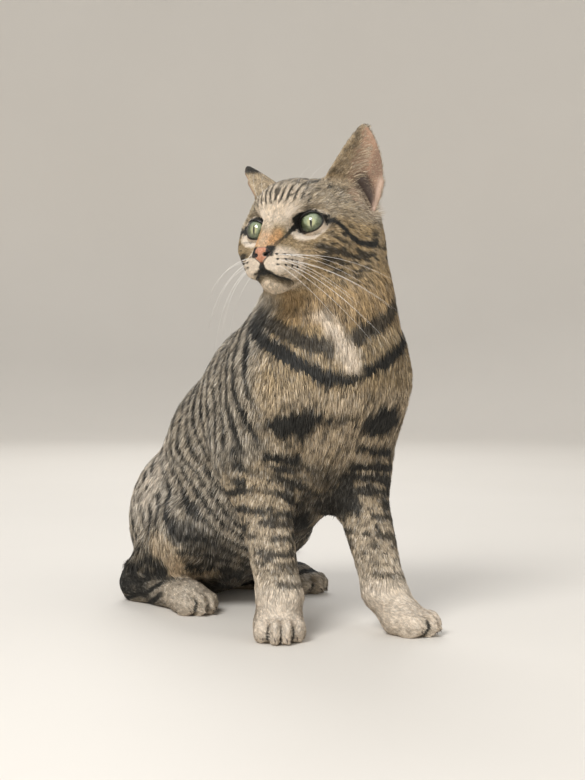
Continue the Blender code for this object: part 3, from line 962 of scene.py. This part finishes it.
def skin_material():
    shading = Shading("skin")
    blend, between = shading.blend, shading.between
    marks = shading.attribute("marks")
    bare, leather, pink = shading.attribute("bare")
    fine = shading.noise(900.0, 4.0)
    shade = between(0.25, 0.75, fine)
    colour = coat_colour(shading, marks)
    colour = blend(shade, blend(1.0, colour, (0.72, 0.70, 0.68), "MULTIPLY"), colour)
    inside = blend(shade, (0.34, 0.20, 0.135), EAR_SKIN)
    inside = blend(marks[1], inside, (0.62, 0.45, 0.36))
    # The ear's inside darkens with the marks' dark, which holds the painted shade of its hollow.
    inside = blend(marks[0], inside, (0.045, 0.032, 0.026))
    colour = blend(pink, colour, inside)
    mottles = between(0.35, 0.65, shading.noise(700.0))
    colour = blend(leather, colour, blend(mottles, LEATHER, (0.56, 0.27, 0.17)))
    colour = blend(bare, colour, (0.012, 0.009, 0.008))
    pebbles = shading.node("ShaderNodeTexVoronoi", {"Scale": 1500.0})
    shading.bump(blend(leather, fine, pebbles), 0.0003, 0.6)
    wet = shading.maths("MAXIMUM", bare, leather)
    rough = shading.node("ShaderNodeMapRange", {"Value": wet, "To Min": 0.85, "To Max": 0.38})
    return shading.finished(Base_Color=colour, Roughness=rough)


def coat_material():
    """Each tuft has its own tone and is darker at its root, partly with painted shade; some have a dark or a
    pale tip.
    """
    shading = Shading("coat")
    blend, between, times = shading.blend, shading.between, shading.times
    dark, pale, warm = marks = shading.attribute("marks")
    tone, along, tip = shading.attribute("tuft")
    colour = coat_colour(shading, marks)
    # Darker towards each tuft's root: partly the grey under-fur, partly painted shade deep in the coat; the
    # palest fur is not darkened.
    root = shading.maths("MAXIMUM", between(0.0, 0.5, along), between(0.3, 0.9, pale))
    colour = blend(root, blend(1.0, colour, (0.30, 0.27, 0.25), "MULTIPLY"), colour)
    end = between(0.35, 0.8, along)
    black = times(end, between(0.60, 0.10, pale), between(0.55, 0.75, tip), 0.9)
    white = times(end, between(0.42, 0.18, tip), between(1.15, 0.3, dark))
    white = times(white, between(0.95, 0.3, warm), 0.5)
    colour = blend(white, blend(black, colour, DARK), FROST)
    light = shading.node("ShaderNodeMapRange", {"Value": tone, "To Min": 0.42, "To Max": 1.6})
    grey = shading.node("ShaderNodeCombineXYZ", {0: light, 1: light, 2: light})
    even = between(0.5, 1.1, pale)  # the palest fur varies less
    colour = blend(even, blend(1.0, colour, grey, "MULTIPLY"), colour)
    return shading.finished(Base_Color=colour, Roughness=0.62, Specular_IOR_Level=0.35)


def finish_piece(piece, material, slot, *replaced):
    piece.data.materials.append(material)
    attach(piece, "root")
    if replaced:
        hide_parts(*replaced)


# The lie of the coat.

HEAD_LIE = (  # a place and a direction in each row, on the left of the head; the right mirrors it
    (0, 39, -18, 0, -0.5, 0.85), (0, 24, -6, 0, -0.75, 0.65),
    (5, 6, 16, 0.1, -0.8, 0.6), (6, -22, 38, 0.05, -1.0, 0.1),
    (8, -56, 30, 0, -0.75, -0.65), (8, -68, 4, 0, -0.1, -1.0),
    (10, 27, -14, 0.5, -0.75, 0.35), (14, 28, -31, 0.8, -0.55, -0.15),
    (4, 36, -34, 0.75, -0.1, -0.65), (0, 30, -46, 0, -0.35, -0.95),
    (9, 16, -49, 0.25, -0.6, -0.75), (30, 8, -18, 0.6, -0.75, -0.2),
    (40, -8, -22, 0.25, -0.85, -0.5), (44, -30, -22, 0.05, -0.7, -0.7),
    (24, 4, 14, 0.4, -0.75, 0.55), (36, -10, 8, 0.35, -0.9, 0.1),
    (46, -26, 0, 0.1, -0.95, -0.3), (20, -20, -50, 0, -0.4, -0.9),
    (30, -30, 40, 0.2, -0.15, 1.0), (40, -30, 62, 0.25, -0.1, 1.0),
)
BODY_LIE = (  # the same for the body, in the frame's millimetres
    (4, -262, 240, 0, -0.1, -1.0), (50, -210, 250, 0.1, 0.25, -1.0),
    (10, -158, 262, 0, 0.4, -0.9), (4, -268, 195, 0, 0.1, -1.0),
    (6, -240, 140, 0, 0.3, -1.0), (58, -190, 190, 0, 0.4, -0.9),
    (0, -112, 222, 0, 0.75, -0.65), (0, -44, 170, 0, 0.65, -0.75),
    (0, 24, 104, 0, 0.5, -0.85), (0, 44, 56, 0, 0.7, -0.7),
    (50, -110, 145, 0.05, 0.65, -0.75), (55, -50, 110, 0.1, 0.35, -0.9),
    (55, 10, 60, 0, 0.3, -0.95), (60, -80, 60, 0, 0.1, -1.0),
    (0, -140, 70, 0, 0.7, -0.7), (44, -200, 90, 0, 0.1, -1.0),
    (38, -235, 40, 0, 0.0, -1.0), (50, -215, 30, 0, 0.0, -1.0),
)
GUIDE_SPREAD, SWIRL, SWIRL_SIZE = 0.012, 0.22, 0.017  # how far guides blend in metres, and the lie's waves
TAIL_TURN = (0.060, -0.020)  # what the tail curves about, a little way left of the rump


def guides():
    """Places on the cat, and the direction in which its hair lies there."""
    places, ways = [], []
    for side in (1, -1):
        head, body = (np.array(rows) * (side, 1, 1, side, 1, 1) for rows in (HEAD_LIE, BODY_LIE))
        places += [HEAD.world(head[:, :3]), body[:, :3] * MM]
        ways += [HEAD.direction(head[:, 3:]), body[:, 3:]]
    return np.concatenate(places), unit(np.concatenate(ways))


def lie_of_coat(points, normals, kinds, edges):
    """The direction of the hair at each point, along the skin."""
    places, ways = guides()
    away = ((points[:, None] - places[None]) ** 2).sum(axis=2)
    weights = 1.0 / (away + GUIDE_SPREAD**2) ** 1.7
    lie = unit((weights[:, :, None] * ways[None]).sum(axis=1))
    for node, place in FEET.items():
        low, high = box_of(node)
        share = smooth(0.012, 0.0, most(low - points, points - high).max(axis=1))
        lie = mixed(lie, place.axes[1] + (0, 0, -0.3), share[:, None])
    tail = -unit(np.cross((0, 0, 1.0), points - (*TAIL_TURN, 0)) * (1, 1, 0))
    lie = mixed(lie, tail, kinds[:, [KINDS.index("tail")]])
    left = HEAD.local(points)[:, :1] > 0
    across = np.where(left, HEAD.direction((0.85, -0.4, 0.12)), HEAD.direction((-0.1, -0.9, 0.3)))
    lie = mixed(lie, across, inner_ear(points, normals, kinds)[:, None])
    swirl = np.stack([grain(points + 0.1 * i, SWIRL_SIZE) for i in range(3)], axis=1)
    lie = unit(lie) + SWIRL * swirl
    lie -= normals * (lie * normals).sum(axis=1, keepdims=True)
    return unit(relaxed(unit(lie), edges, 6))


def bend_along(points, normals, lie, edges):
    """How sharply the skin curves away along the hair, in radians for each metre."""
    both = np.concatenate([edges, edges[:, ::-1]])
    step = points[both[:, 1]] - points[both[:, 0]]
    along = (step * lie[both[:, 0]]).sum(axis=1) ** 2
    turn = ((normals[both[:, 1]] - normals[both[:, 0]]) * step).sum(axis=1)
    rate = turn * along / most((step**2).sum(axis=1), 1e-12)
    total = summed(both[:, 0], columns(rate, along), len(points))
    bend = total[:, 0] / most(total[:, 1], 1e-12)
    return np.clip(relaxed(bend, edges, 8)[:, 0], -60, 90)


# The coat's tufts.

EAR_HAIR = (11.0, 0.17)  # length and width of the hairs inside the ears, in millimetres
MOST_TUFTS = 98000  # in one piece, at two triangles each
STRAY, ROLL = 0.16, 0.45  # how much tufts stray from the lie, and the radians they may roll by
GATHERED = 0.40  # of the way from each tip to the middle of its lock's tips
SHOWN = 0.85  # of the way to its tip, where a tuft takes its colour from
ROOT_DEPTH = 0.3  # of a tuft under the skin, in millimetres
PATCH = 0.003  # each tuft's size on the OFBake map
COARSE_FACES = 6000  # in the copy of the skin that is unwrapped for that map


class Unwrap:
    """The skin's own shape laid flat: a coarse copy, unwrapped in pieces, and its triangles' maps."""

    def __init__(self, points, faces):
        copy = new_piece("coarse_copy", points, faces)
        apply_modifier(copy, "DECIMATE", ratio=COARSE_FACES / len(faces))
        bpy.context.view_layer.objects.active = copy
        copy.select_set(True)
        bpy.ops.object.mode_set(mode="EDIT")
        bpy.ops.mesh.select_all(action="SELECT")
        bpy.ops.uv.smart_project(angle_limit=math.radians(66), island_margin=0.003)
        bpy.ops.object.mode_set(mode="OBJECT")
        middles = points[faces].mean(axis=1)
        corners, faces = arrays_of(copy.data)
        self.corners = corners[faces]
        flat = taken(copy.data.uv_layers.active.data, "uv", 2, np.float32)
        self.flat = flat[taken(copy.data.loop_triangles, "loops", 3, np.int32)]
        tree = BVHTree.FromPolygons(corners.tolist(), faces.tolist())
        self.nearest = np.array([tree.find_nearest(Vector(middle))[2] for middle in middles])
        bpy.data.objects.remove(copy)

    def places(self, roots, faces):
        """Where roots on the skin's faces lie on the map."""
        near = self.nearest[faces]
        first, second, third = (self.corners[near, i] for i in range(3))
        one, two, here = second - first, third - first, roots - first
        a, b, c = (one * one).sum(1), (one * two).sum(1), (two * two).sum(1)
        d, e = (here * one).sum(1), (here * two).sum(1)
        scale = most(a * c - b * b, 1e-18)
        v, w = np.clip((c * d - b * e) / scale, 0, 1), np.clip((a * e - b * d) / scale, 0, 1)
        shares = columns(most(1 - v - w, 0), v, w)
        return (self.flat[near] * (shares / shares.sum(1, keepdims=True))[:, :, None]).sum(axis=1)


class Skin:
    """The skin's arrays, with what each point carries for the coat."""

    def __init__(self):
        self.points, self.faces, self.edges, self.kinds = skin_shape()
        self.normals = normals_of(self.points, self.faces)
        self.inner = inner_ear(self.points, self.normals, self.kinds)
        self.marks = self.with_ears(marks_at(self.points, self.kinds))
        self.lie = lie_of_coat(self.points, self.normals, self.kinds, self.edges)
        self.bend = bend_along(self.points, self.normals, self.lie, self.edges)
        self.bare = bare_parts(self)
        self.gaps = toe_gaps(self.points)
        self.tree = BVHTree.FromPolygons(self.points.tolist(), self.faces.tolist())
        self.unwrap = Unwrap(self.points, self.faces)

    def with_ears(self, marks):
        """The marks with the ears' insides: painted shade in the left ear's hollow, a paler fold, and darker
        skin high up away from the fur of its front edge.
        """
        left, _, up = HEAD.local(self.points).T
        # Painted shade in the hollow of the left ear, none on its fold.
        deep = np.minimum(1.4 * in_ear(self.points, EAR_HOLLOW, 7.0), 1)
        deep = deep * (1 - in_ear(self.points, EAR_FOLD, 3.0))
        deep = most(deep, 0.45 * smooth(11, 17, left - fur_edge(up)) * smooth(34, 44, up))
        deep = most(0.95 * deep, (left < 0) * marks[:, 0])
        marks[:, 0] = mixed(marks[:, 0], deep, self.inner)
        marks[:, 1] = mixed(marks[:, 1], 0.7 * in_ear(self.points, EAR_FOLD, 3.6), self.inner)
        return marks

    def at(self, values, faces, shares):
        """Point values at places on faces, given by their shares of the three corners."""
        corners = values[self.faces[faces]]
        return (corners * (shares if values.ndim == 1 else shares[:, :, None])).sum(axis=1)


def ear_opening(points):
    """The way each ear opens, at points on the left or the right of the head."""
    left = HEAD.local(points)[:, :1] > 0
    return np.where(left, HEAD.direction((0.6, 0.8, 0.0)), HEAD.direction((-0.99, -0.1, 0.0)))


def inner_ear(points, normals, kinds):
    """How much each point is on the hollow side of an ear, behind the fur of the left ear's front edge."""
    ear = kinds[:, KINDS.index("ear")]
    local = HEAD.local(points)
    border = fur_edge(local[:, 2]) + 1.2 * grain(local, 4)
    behind = np.where(local[:, 0] > 0, smooth(-1.5, 2.0, local[:, 0] - border), 1.0)
    ear = np.where(local[:, 0] > 0, smooth(0.05, 0.4, ear), ear)
    facing = smooth(0.05, 0.35, (normals * ear_opening(points)).sum(axis=1))
    hollow = np.minimum(1.6 * in_ear(points, EAR_HOLLOW, 11.0), 1)
    return most(ear * behind * facing, hollow * smooth(-1.5, 2.0, local[:, 0] - border))


def ear_hair_share(points):
    """The length of the hair inside the ears as a share: least towards the left ear's outer edge."""
    local = HEAD.local(points)
    behind = local[:, 0] - fur_edge(local[:, 2])
    share = (0.22 + 0.78 * smooth(11, 2, behind)) * (1 - 0.7 * smooth(58, 70, local[:, 2]))
    return np.where(local[:, 0] > 0, share, 0.5)


def in_ear(points, path, half_width):
    """How near each point is to a path on the left ear's inside, in the head's directions."""
    _, away = along_path(HEAD.local(points), np.array(path, float))
    return groove(away, half_width)


def bare_parts(skin):
    """Shares of bare dark skin, nose leather and the skin inside the ears."""
    side = mirrored(skin.points)
    across, forward, up = side.T
    inside = inside_nose(side)
    leather = smooth(-0.3, 0.3, inside)
    wing = smooth(3.9, 5.0, across) * smooth(-21.8, -23.5, up)
    rim = smooth(1.7, 0.5, inside) * smooth(-24, -27, up)
    # The nostrils are painted near black: painted shade inside them.
    dark = most(smooth(2.1, 1.3, nostril(side)), 0.95 * wing, 0.9 * rim, 0.6 * smooth(0.9, 0.2, inside))
    lips = smooth(12, 18, forward) * smooth(15, 12, across)
    lips = lips * smooth(1.0, 0.4, np.abs(up - mouth_height(across)))
    dark = most(leather * dark, lips)
    for place in EYES.values():
        eye = place.local(skin.points)
        dark = most(dark, smooth(0.5, 0.0, beyond_lid(eye)[0]) * smooth(-6, -2, eye[:, 1]))
    return columns(dark, leather * (1 - dark), 0.9 * skin.inner)


def spread_roots(skin, density, rng):
    """Faces and shares of their corners for roots at a density for each square millimetre."""
    areas = np.linalg.norm(flats(skin.points, skin.faces), axis=1) / 2
    wanted = areas / MM**2 * density[skin.faces].mean(axis=1)
    counts = rng.poisson(wanted)
    faces = np.repeat(np.arange(len(counts)), counts)
    shares = rng.random((len(faces), 3))
    over = shares[:, 0] + shares[:, 1] > 1
    shares[over, :2] = 1 - shares[over, :2]
    shares[:, 2] = 1 - shares[:, 0] - shares[:, 1]
    return faces, shares


def gathered(roots, tips, size, strength):
    """Tips drawn towards those of their neighbours, as locks, and each lock's number."""
    jitter = 0.4 * size * np.stack([grain(roots + i, 2.5 * size) for i in (0, 1, 2)], axis=1)
    cells = np.floor((roots + jitter) / size)
    _, index = np.unique(cells.astype(np.int64), axis=0, return_inverse=True)
    index = index.reshape(-1)
    count = np.bincount(index)[:, None]
    middle = summed(index, tips, len(count)) / count
    return mixed(tips, middle[index], strength), index


def tufts(skin, faces, shares, lock_size, rng):
    """Points, triangles, tuft attribute, marks and bake places of tufts at the roots."""
    roots, kinds, bend, inner = (
        skin.at(values, faces, shares) for values in (skin.points, skin.kinds, skin.bend, skin.inner)
    )
    normals, lie = (unit(skin.at(values, faces, shares)) for values in (skin.normals, skin.lie))
    count = len(roots)
    lie = unit(lie + np.cross(normals, lie) * rng.normal(0, STRAY, (count, 1)))
    side = np.cross(normals, lie)
    share = face_share(roots)
    length = mixed(by_kind(kinds, LENGTH) * share, EAR_HAIR[0] * ear_hair_share(roots), inner)
    length = length * rng.uniform(0.65, 1.25, count) * MM
    width = mixed(by_kind(kinds, WIDTH) * np.sqrt(share), EAR_HAIR[1], inner)
    width = width * rng.uniform(0.7, 1.2, count) * MM
    lift = np.radians(by_kind(kinds, LIFT) * rng.uniform(0.5, 1.5, count))
    half = (length / 2)[:, None]
    low, high = (lie * np.cos(a)[:, None] + normals * np.sin(a)[:, None] for a in (lift, 0.25 * lift))
    sag = normals * (bend * length**2 / 2)[:, None]  # so that a tuft follows the skin's curve
    middle = roots + low * half - sag / 4
    tip, lock = gathered(roots, roots + (low + high) * half - sag, lock_size, GATHERED)
    roll = rng.uniform(-ROLL, ROLL, (count, 1))
    edge = (side * np.cos(roll) + normals * np.sin(roll)) * width[:, None] / 2
    points = columns(roots - normals * ROOT_DEPTH * MM, middle - edge, middle + edge, tip)
    points[:, :, 2] = most(points[:, :, 2], 0.0002)
    triangles = (np.arange(count) * 4)[:, None, None] + np.array([(0, 1, 2), (1, 3, 2)])
    shown = SHOWN * (tip - roots)
    shown -= normals * (shown * normals).sum(axis=1, keepdims=True)
    marks = marks_at(roots + shown, kinds)  # under the part of the tuft that shows most
    marks[:, 0] *= 1 - inner
    marks[:, 1] = mixed(marks[:, 1], 0.35, inner)
    tone = 0.5 * rng.random(count) + 0.5 * hashed(columns(lock, lock // 7, lock * 3))
    tinge = 0.55 * rng.random(count) + 0.45 * hashed(columns(lock * 5, lock, lock // 3))
    along = np.tile((0.0, 0.5, 0.5, 1.0), count)
    tuft = columns(np.repeat(tone, 4), along, np.repeat(tinge, 4))
    patch = np.array([(0.0, -0.5), (-0.5, 0.0), (0.5, 0.0), (0.0, 0.5)]) * PATCH
    places = (skin.unwrap.places(roots, faces)[:, None] + patch).reshape(-1, 2)
    return points.reshape(-1, 3), triangles.reshape(-1, 3), tuft, np.repeat(marks, 4, axis=0), places


def face_share(points):
    """The hair's length on the head as a share, least at the nose."""
    away = np.linalg.norm(HEAD.local(points) - (0, 38, -26), axis=1)
    return 0.28 + 0.72 * smooth(4, 75, away)


COATS = {  # each coat piece's kinds, a slot name, and its locks' size
    "coat_head": (("head",), "coat_head", 0.0018),
    "coat_ears": (("ear",), "ear_coat", 0.0016),
    "coat_neck": (("neck",), "coat_neck", 0.0030),
    "coat_trunk": (("trunk",), "coat_trunk", 0.0030),
    "coat_thighs": (("thigh",), "coat_trunk", 0.0030),
    "coat_forelegs": (("foreleg",), "coat_leg", 0.0024),
    "coat_feet": (("forepaw", "hindfoot"), "coat_paw", 0.0018),
    "coat_tail": (("tail",), "coat_tail", 0.0030),
}


def make_coat(skin, material):
    """The tufts over the whole skin, in pieces of one part of the body each."""
    density = by_kind(skin.kinds, DENSITY) / np.clip(face_share(skin.points), 0.45, 1) ** 1.5
    density *= 1 - np.clip(skin.bare[:, 0] + skin.bare[:, 1], 0, 1)
    density *= smooth(-0.4, 0.3, skin.normals[:, 2] + smooth(0.001, 0.006, skin.points[:, 2]) * 2)
    density *= (1 - 0.72 * skin.inner) * (1 - 0.85 * skin.gaps)
    faces, shares = spread_roots(skin, density, RANDOM)
    owner = skin.kinds[skin.faces[faces]].mean(axis=1).argmax(axis=1)
    for name, (kinds, slot, lock_size) in COATS.items():
        chosen = np.flatnonzero(np.isin(owner, [KINDS.index(kind) for kind in kinds]))
        parts = math.ceil(len(chosen) / MOST_TUFTS)
        for number, own in enumerate(np.array_split(chosen, parts)):
            points, triangles, tuft, marks, places = tufts(skin, faces[own], shares[own], lock_size, RANDOM)
            piece = new_piece(name if parts == 1 else f"{name}_{number + 1}", points, triangles)
            set_attribute(piece, "tuft", tuft)
            set_attribute(piece, "marks", marks)
            set_bake_map(piece, places)
            finish_piece(piece, material, slot)


def make_skin(skin):
    piece = new_piece("skin", skin.points, skin.faces)
    set_attribute(piece, "marks", skin.marks)
    set_attribute(piece, "bare", skin.bare)
    finish_piece(piece, skin_material(), "coat_head", *FLESH)


# Eyes.

AROUND = 64  # points in each ring of an eye, and of the floor


def rings(profile):
    """Points once round an axis for each (distance from it, place along it), which come last."""
    turns = np.arange(AROUND) * 2 * math.pi / AROUND
    aside, along = np.array(profile).T[:, :, None]
    return np.stack([aside * np.cos(turns), aside * np.sin(turns), along + 0 * turns], axis=2).reshape(-1, 3)


def strips(rows, around, first=0):
    """Triangles between rows of points that each go once round, starting at a first point."""
    start = first + around * np.arange(rows - 1)[:, None]
    here, after = start + np.arange(around), start + np.arange(1, around + 1) % around
    low = np.stack([here, after, after + around], axis=2)
    high = np.stack([here, after + around, here + around], axis=2)
    return np.stack([low, high], axis=1).reshape(-1, 3)


def revolved(name, place, profile):
    """A surface round a place's forward axis, from (aside, forward) points in millimetres."""
    local = rings(profile)[:, [0, 2, 1]]
    faces = strips(len(profile), AROUND)
    if np.linalg.det(place.axes) > 0:
        faces = faces[:, ::-1]
    piece = new_piece(name, place.world(local), faces)
    turn = math.radians(EYE_SLANT)
    across = local[:, 0] * math.cos(turn) - local[:, 2] * math.sin(turn)
    up = local[:, 0] * math.sin(turn) + local[:, 2] * math.cos(turn)
    set_attribute(piece, "seen", columns(across, up, local[:, 1]))
    return piece


def iris_material():
    shading = Shading("iris")
    maths, blend, between = shading.maths, shading.blend, shading.between
    across, up, _ = shading.attribute("seen")
    reach = maths("SQRT", maths("ADD", maths("POWER", across, 2.0), maths("POWER", up, 2.0)))
    away = maths("MAXIMUM", reach, 0.1)
    spoke = {0: maths("DIVIDE", across, away), 1: maths("DIVIDE", up, away), 2: shading.times(reach, 0.06)}
    fibres = shading.noise(9.0, 5.0, shading.node("ShaderNodeCombineXYZ", spoke))
    colour = blend(between(0.3, 0.75, fibres), (0.22, 0.28, 0.16), (0.47, 0.51, 0.32))
    colour = blend(between(4.2, 2.2, reach), colour, (0.50, 0.50, 0.27))
    colour = blend(between(6.6, 8.2, reach), colour, (0.045, 0.07, 0.05))
    wide, tall = maths("DIVIDE", maths("ABSOLUTE", across), 0.85), maths("DIVIDE", up, 4.2)
    slit = maths("ADD", wide, maths("POWER", tall, 2.0))
    colour = blend(between(1.12, 0.94, slit), colour, (0.003, 0.003, 0.003))
    colour = blend(between(8.25, 8.5, reach), colour, (0.02, 0.014, 0.011))
    shading.bump(fibres, 0.0004, 0.5)
    return shading.finished(Base_Color=colour, Roughness=0.45, Specular_IOR_Level=0.2)


def cornea_material():
    """Clear but for what it mirrors."""
    shading = Shading("cornea")
    fresnel = shading.node("ShaderNodeFresnel", {"IOR": 1.7})
    clear = shading.node("ShaderNodeBsdfTransparent")
    gloss = shading.node("ShaderNodeBsdfGlossy", {"Roughness": 0.07})
    both = shading.node("ShaderNodeMixShader", {0: fresnel, 1: clear, 2: gloss})
    output = shading.tree.nodes["Material Output"]
    shading.tree.links.new(both, output.inputs["Surface"])
    shading.tree.nodes.remove(shading.shader)
    return shading.material


def leather_material():
    shading = Shading("lid_rim")
    shading.bump(shading.noise(1400.0), 0.0002, 0.5)
    return shading.finished(Base_Color=(0.012, 0.010, 0.009), Roughness=0.32)


def tube(paths, radii, sides):
    """Points and triangles of tubes with closed ends along paths of points."""
    points, faces, count = [], [], 0
    angles = np.arange(sides) * 2 * math.pi / sides
    fan = np.arange(1, sides - 1)
    for path, radius in zip(paths, radii):
        ways = unit(np.gradient(path, axis=0))
        across = unit(np.cross(ways, (0.31, 0.17, 0.93)))
        over = np.cross(ways, across)
        ring = across[:, None] * np.cos(angles)[:, None] + over[:, None] * np.sin(angles)[:, None]
        points.append((path[:, None] + ring * np.reshape(radius, (-1, 1, 1))).reshape(-1, 3))
        faces.append(strips(len(path), sides, count))
        last = count + (len(path) - 1) * sides
        faces.append(columns(count, count + fan + 1, count + fan))
        faces.append(columns(last, last + fan, last + fan + 1))
        count += len(path) * sides
    return np.concatenate(points), np.concatenate(faces)


def make_eyes():
    iris, cornea, rim = iris_material(), cornea_material(), leather_material()
    back = np.linspace(math.pi - 0.05, 0.98, 14)
    back = [(BALL_RADIUS * math.sin(angle), BALL_RADIUS * math.cos(angle)) for angle in back]
    front = [(LIMBUS * s, LIMBUS_DEPTH + 1.7 * (1 - s**2)) for s in np.linspace(0.99, 0.02, 14)]
    dome = [(aside, float(eye_front(np.array(aside))) + 0.05) for aside in np.linspace(8.29, 0.02, 16)]
    angles = np.linspace(0, 2 * math.pi, 73)
    reach = opening_reach(angles) + 0.1
    edge = columns(reach * np.cos(angles), eye_front(reach) + 0.35, reach * np.sin(angles))
    radius = (0.26 + 0.50 * smooth(-0.3, 0.7, np.sin(angles))) * MM
    for side, place in EYES.items():
        finish_piece(revolved(f"eyeball_{side}", place, back + front), iris, "eye", f"eye_{side}")
        finish_piece(revolved(f"cornea_{side}", place, dome), cornea, "eye")
        rim_piece = new_piece(f"lid_rim_{side}", *tube([place.world(edge)], [radius], 8))
        finish_piece(rim_piece, rim, "nose_leather")


# Whiskers, claws.

HAIR_STEPS = 9  # points along each whisker


def hair(skin, side, root, outwards, way, droop, length):
    """A hair's points, from its root on the skin along way and then droop. On the right, side is -1."""
    root, outwards, way, droop = np.multiply((root, outwards, way, droop), (side, 1, 1))
    start = Vector(HEAD.world(root + outwards * 30))
    hit = skin.tree.ray_cast(start, Vector(-HEAD.direction(outwards)), 0.06)[0]
    share = np.linspace(0, 1, HAIR_STEPS)[:, None]
    bent = unit(HEAD.direction(way)) * share + HEAD.direction(droop) * share**2
    return np.array(HEAD.world(root) if hit is None else hit) + bent * length * MM


def make_whiskers(skin):
    """The whiskers, and two hairs over each eye."""
    paths, radii = [], []
    for side in (1, -1):
        number = 0
        for row, roots in enumerate(WHISKER_ROWS):
            for i, root in enumerate(roots):
                number += 1
                low = row / 2 + 0.14 * math.sin(1.7 * number)
                way = (0.92 - 0.18 * low, -0.18 - 0.05 * i, -0.02 - 0.42 * low)
                length = 56 + 9 * math.sin(2.3 * number) + 5 * i
                paths.append(hair(skin, side, root, WHISKER_WAY, way, (-0.10, -0.26, -0.28), length))
                radii.append(np.linspace(0.13, 0.04, HAIR_STEPS) * MM)
        for number in range(2):
            root, way = (14 + 5 * number, 0, 13), (0.1 + 0.2 * number, 0.25, 0.9)
            paths.append(hair(skin, side, root, (0, 0.7, 0.7), way, (0.15, -0.75, 0.0), 22 + 5 * number))
            radii.append(np.linspace(0.08, 0.03, HAIR_STEPS) * MM)
    shading = Shading("whiskers")
    shade = shading.between(0.3, 0.7, shading.noise(40.0))
    colour = shading.blend(shade, (0.80, 0.76, 0.70), (0.95, 0.93, 0.90))
    material = shading.finished(Base_Color=colour, Roughness=0.35)
    finish_piece(new_piece("whiskers", *tube(paths, radii, 5)), material, "coat_head")


def make_claws():
    """Four claws on each foot, between the toes' tips and the floor."""
    paths, radii = [], []
    share = np.linspace(0, 1, 7)
    for node, place in FEET.items():
        foot = place.local(arrays_of(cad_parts[node].data)[0])
        for offset in TOES:
            reach = foot[np.abs(foot[:, 0] - offset) < 2.5, 1].max() - 2.0
            forward, up = reach + 3.4 * (share - 0.25 * share**2), 5.2 - 3.2 * share**1.6
            paths.append(place.world(columns(offset, forward, up)))
            radii.append(np.array([0.80, 0.78, 0.70, 0.56, 0.40, 0.22, 0.05]) * MM)
    shading = Shading("claws")
    shade = shading.between(0.35, 0.65, shading.noise(500.0))
    colour = shading.blend(shade, (0.05, 0.035, 0.028), (0.13, 0.10, 0.08))
    material = shading.finished(Base_Color=colour, Roughness=0.35)
    finish_piece(new_piece("claws", *tube(paths, radii, 8)), material, "nose_leather")


# The studio.

VIEW_TURN = 33.0  # degrees the camera stands round towards the cat's right
CAMERA_BACK, CAMERA_ASIDE, CAMERA_HEIGHT = 1.285, 0.090, 0.212
CAMERA_DOWN = 1.57  # degrees
LENS = 67.4


def make_camera():
    turn = math.radians(VIEW_TURN)
    ahead_of = Vector((math.sin(turn), math.cos(turn), 0))
    right = Vector((math.cos(turn), -math.sin(turn), 0))
    camera = bpy.data.objects.new("camera", bpy.data.cameras.new("camera"))
    camera.data.lens = LENS
    camera.data.clip_start = 0.01
    camera.location = right * CAMERA_ASIDE - ahead_of * CAMERA_BACK + Vector((0, 0, CAMERA_HEIGHT))
    camera.rotation_euler = (math.radians(90 - CAMERA_DOWN), 0, -turn)
    bpy.context.scene.collection.objects.link(camera)
    bpy.context.scene.camera = camera


FLOOR_REACH, WALL_BEND, WALL_TOP = 2.2, 0.7, 2.4  # metres: a round studio, open above


def make_floor():
    """A floor that bends up into a wall all round, so that no edge shows from any side."""
    profile = [(0.0, 0.0), (0.8, 0.0), (1.6, 0.0)]
    for angle in np.linspace(0, math.pi / 2, 9):
        profile.append((FLOOR_REACH + WALL_BEND * math.sin(angle), WALL_BEND * (1 - math.cos(angle))))
    profile.append((FLOOR_REACH + WALL_BEND, WALL_TOP))
    floor = new_piece("floor", rings(profile) - (0, 0, 0.0002), strips(len(profile), AROUND)[:, ::-1])
    shading = Shading("floor")
    colour = shading.blend(shading.noise(3.0), (0.68, 0.64, 0.58), (0.72, 0.68, 0.62))
    floor.data.materials.append(shading.finished(Base_Color=colour, Roughness=0.7))


def make_lights():
    for name, place, size, power in (
        ("key", (-1.5, -1.0, 1.7), 0.9, 44.0),
        ("fill", (0.9, -1.7, 1.1), 1.4, 5.0),
        ("back", (0.8, 1.5, 1.5), 1.2, 16.0),
    ):
        data = bpy.data.lights.new(name, "AREA")
        data.size, data.energy = size, power
        light = bpy.data.objects.new(name, data)
        light.location = place
        light.rotation_euler = (Vector((0, -0.12, 0.18)) - Vector(place)).to_track_quat("-Z", "Y").to_euler()
        bpy.context.scene.collection.objects.link(light)
    world = bpy.data.worlds.new("studio")
    world.use_nodes = True
    background = world.node_tree.nodes["Background"]
    background.inputs["Color"].default_value = (0.92, 0.95, 1.0, 1)
    background.inputs["Strength"].default_value = 0.60
    bpy.context.scene.world = world
    bpy.context.scene.view_settings.view_transform = "Standard"


def main():
    make_camera()
    make_floor()
    make_lights()
    skin = Skin()
    make_skin(skin)
    make_eyes()
    make_whiskers(skin)
    make_claws()
    make_coat(skin, coat_material())


main()
